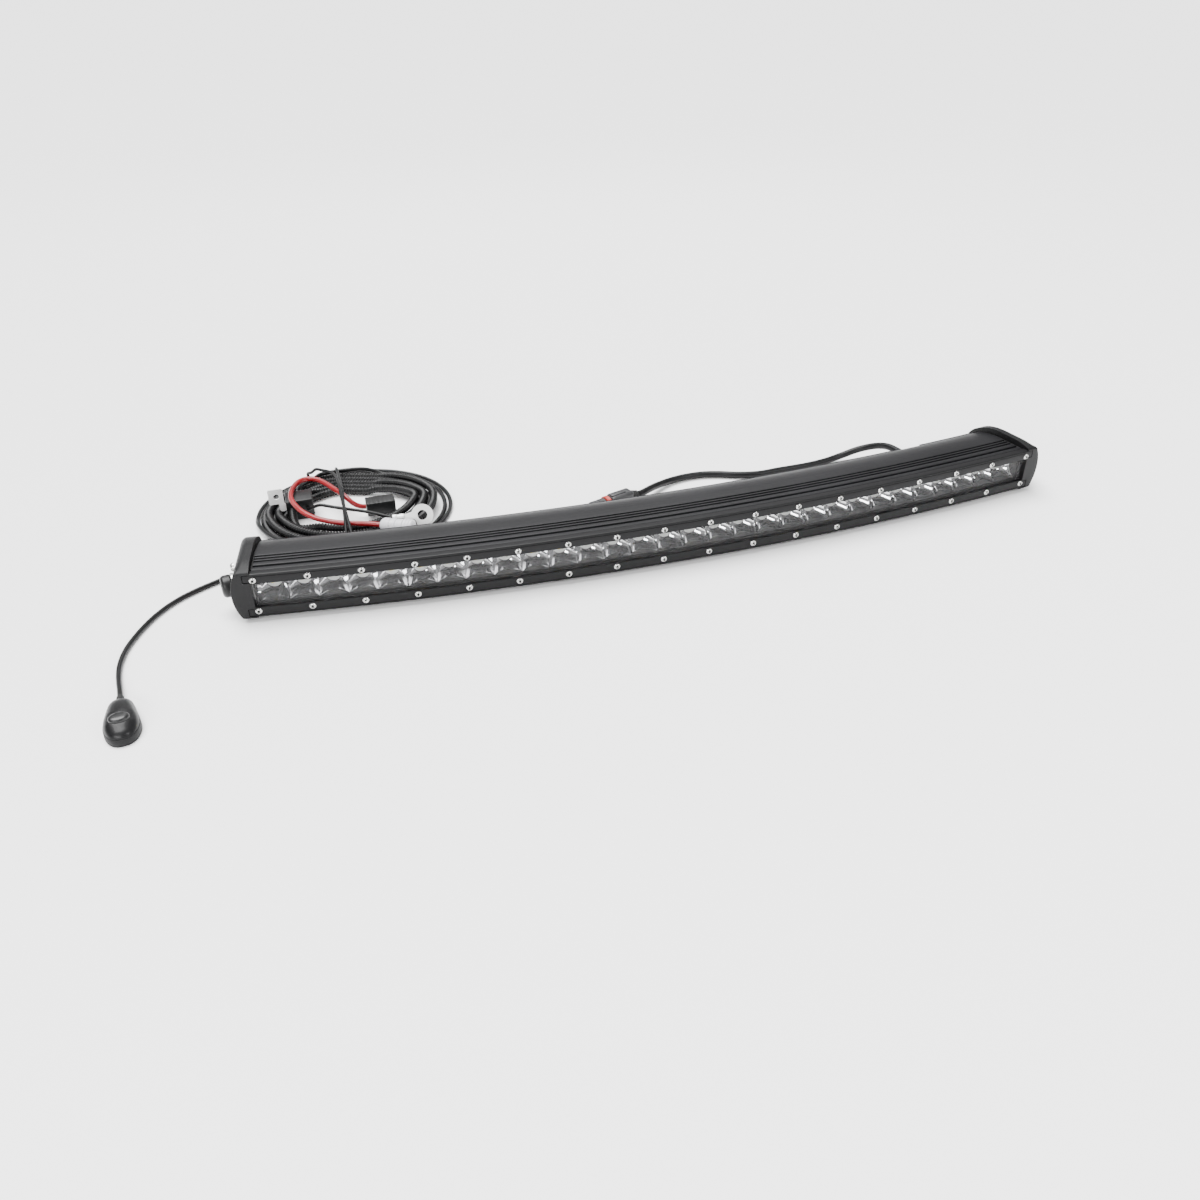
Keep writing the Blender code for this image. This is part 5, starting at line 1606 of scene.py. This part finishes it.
def makeGland():
    matrix = onBack(bar["glandAlong"])
    body = lathe("glandBody", [(0, 0.0100), (0.0074, 0.0100), (0.0074, 0.0052), (0.0090, 0.0052),
                               (0.0090, 0.0006), (0.0086, 0.0003), (0.0060, 0.0003), (0.0060, -0.0042),
                               (0, -0.0042)], matrix, 48)
    hexagon = prism("glandHex", 6, 0.0094, 0.0042, matrix @ Matrix.Translation((0, 0, 0.0026)))
    cutBy(body, [hexagon], "UNION")
    bevelled(body, 0.0002, 2, 40)
    nut = lathe("glandNut", [(0.0040, 0.0180), (0.0052, 0.0180), (0.0064, 0.0176), (0.0078, 0.0164),
                             (0.0087, 0.0144), (0.0090, 0.0120), (0.0090, 0.0058), (0.0087, 0.0055),
                             (0.0078, 0.0055), (0.0078, 0.0104), (0.0040, 0.0104), (0.0040, 0.0180)],
                matrix, 60)
    ribs = []
    for index in range(12):
        around = Matrix.Rotation(math.tau * index / 12, 4, "Z")
        ribs.append(block(f"nutRib{index}", (0.0007, 0.0016, 0.0070),
                          matrix @ around @ Matrix.Translation((0.00895, 0, 0.0092)), 0.0002, 1))
    cutBy(nut, ribs, "UNION")
    keep(shade(body), "gland", ("gland_body",))
    keep(shade(nut), "gland", ("gland_nut",))


def makeVent():
    vent = lathe("ventPlug", [(0, 0.0060), (0.0040, 0.0060), (0.0052, 0.0056), (0.0057, 0.0048),
                              (0.0057, 0.0036), (0.0066, 0.0033), (0.0066, 0.0004), (0.0034, 0.0003),
                              (0.0034, -0.0042), (0, -0.0042)], onBack(-bar["glandAlong"]), 48)
    keep(shade(vent), "gland", ("vent_plug",))


# the switch pod
pod = {
    "place": (-0.4762, -0.083),
    "turn": 5.0,
    "length": 0.052,
    "width": 0.0272,
    "height": 0.015,
    "wall": 0.0018,
    "skirtTop": 0.0060,
    "domeFoot": 0.0063,
    "buttonY": -0.0092,
    "mouth": (0.0077, 0.0059),
    "press": 0.0015,
    "springWire": 0.0006,
    "springRadius": 0.0024,
    "springTurns": 4,
}


def podForm(name, length, width, height, foot, rings=(64, 40)):
    bm = bmesh.new()
    bmesh.ops.create_uvsphere(bm, u_segments=rings[0], v_segments=rings[1], radius=1.0)
    for vert in bm.verts:
        x, y, z = vert.co
        around = math.sqrt(max(1e-9, 1 - y * y))
        taper = 1.0 - 0.31 * smoothStep((y + 0.45) / 1.35)
        plan = (1 - abs(y) ** (2.5 if y < 0 else 6.0)) ** (1 / 2.3) if abs(y) < 1 else 0.0
        half = taper * plan
        arch = (1 - abs(y) ** (5.0 if y < 0 else 4.0)) ** (1 / 2.6) if abs(y) < 0.9999 else 0
        lift = math.copysign(abs(z / around) ** 0.58, z) * arch
        rise = 0.86 + 0.14 * smoothStep((y + 0.78) / 0.34) - 0.20 * max(0.0, y)
        vert.co = (x / around * width / 2 * half, y * length / 2, lift * height * rise)
    cut = bmesh.ops.bisect_plane(bm, geom=bm.verts[:] + bm.edges[:] + bm.faces[:], plane_co=(0, 0, foot),
                                 plane_no=(0, 0, 1), clear_inner=True)
    rim = [item for item in cut["geom_cut"] if isinstance(item, bmesh.types.BMEdge)]
    bmesh.ops.edgeloop_fill(bm, edges=rim)
    return meshObject(name, bm)


def makeDome():
    wall, high = pod["wall"], pod["height"]
    dome = podForm("podShell", pod["length"] - 0.0004, pod["width"] - 0.0004, high, pod["domeFoot"])
    inside = podForm("inside", pod["length"] - 2 * wall, pod["width"] - 2 * wall, high - wall, -0.004)
    mouth = prism("mouth", 64, 1.0, 0.02, Matrix.Translation((0, pod["buttonY"], high))
                  @ Matrix.Diagonal((*pod["mouth"], 1.0, 1.0)))
    cutBy(dome, [inside])
    cutBy(dome, [mouth])
    return bevelled(dome, 0.0003, 2, 42)


def makeSkirt():
    skirt = podForm("podSkirt", pod["length"], pod["width"], pod["height"], 0.0004)
    above = 0.05
    cutBy(skirt, [block("skirtTop", (0.1, 0.1, above),
                        Matrix.Translation((0, 0, pod["skirtTop"] + above / 2)))])
    cutBy(skirt, [block("skirtHollow", (0.0172, 0.0212, 0.0046),
                        Matrix.Translation((0, pod["buttonY"] + 0.002, 0.0050)))])
    return bevelled(skirt, 0.0003, 2, 42)


def makeButton():
    flat = Matrix.Diagonal((1.0, 0.76, 1.0, 1.0))
    return lathe("podButton", [(0, 0.0167), (0.0030, 0.0166), (0.0050, 0.0164), (0.0064, 0.0160),
                               (0.0071, 0.0154), (0.0074, 0.0146), (0.0074, 0.0096), (0.0085, 0.0096),
                               (0.0085, 0.0086), (0, 0.0086)],
                 Matrix.Translation((0, pod["buttonY"], 0)) @ flat, 72)


def makeRelief():
    atTip = Matrix.Translation((0, pod["length"] / 2 + 0.0003, 0.005)) @ Matrix.Rotation(-math.pi / 2, 4, "X")
    return lathe("podRelief", [(0, 0.0042), (0.0022, 0.0042), (0.0024, 0.0036), (0.0027, 0.0030),
                               (0.0026, 0.0024), (0.0029, 0.0016), (0.0030, -0.0020), (0, -0.0020)], atTip, 40)


def makeSpring(low, high):
    wire, radius, steps = pod["springWire"], pod["springRadius"], 96
    turns = []
    for step in range(steps + 1):
        angle = pod["springTurns"] * math.tau * step / steps
        turns.append(Vector((radius * math.cos(angle), pod["buttonY"] + radius * math.sin(angle),
                             low + wire / 2 + (high - low - wire) * step / steps)))
    return asMesh(plainCord("podSpring", turns, wire, 3))


def makePod():
    low, high = (corner[2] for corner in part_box("switch_spring"))
    dome, skirt, button, relief = makeDome(), makeSkirt(), makeButton(), makeRelief()
    spring = makeSpring(low, high)
    place = Matrix.Translation(onFloor(*pod["place"], 0)) @ Matrix.Rotation(math.radians(pod["turn"]), 4, "Z")
    for piece in (dome, skirt, button, relief, spring):
        piece.data.transform(place)
    keep(shade(spring), "plated_steel", ("switch_spring",))
    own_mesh(spring)
    return [keep(shade(dome, 35), "switch_shell", ("switch_shell",)),
            keep(shade(skirt, 35), "switch_shell", ("switch_base",), finish="podSkirt"),
            keep(shade(button, 35), "switch_button", ("switch_button",), body="button"),
            keep(shade(relief), "seal", ("switch_strain_relief",))]


def dress(nodeName, finishName):
    obj = frame["nodes"][nodeName]
    obj = obj if hasattr(obj, "data") else bpy.data.objects[nodeName]
    obj.data.materials.clear()
    obj.data.materials.append(finishes[finishName])
    return obj


makeHousing()
makeBezels()
makeBezelScrews()
makeLens()
makeLensGasket()
makeModules()
for side, name in ((-1, "left"), (1, "right")):
    makeCap(side, name)
    makeEndHardware(side, name)
makeGland()
makeVent()
podPieces = makePod()
for nodeName, finishName in (("left_end_gasket", "seal"), ("right_end_gasket", "seal"),
                             ("switch_board", "switch_board")):
    dress(nodeName, finishName)
print("bar and pod made")


# the length of each cord's route, worked out and not kept
def declare(route):
    pathLength(route)


declare(barLeadRoute)
declare(loomRoute)
declare(switchRoute)
declare(powerRoute)
declare(groundRoute)
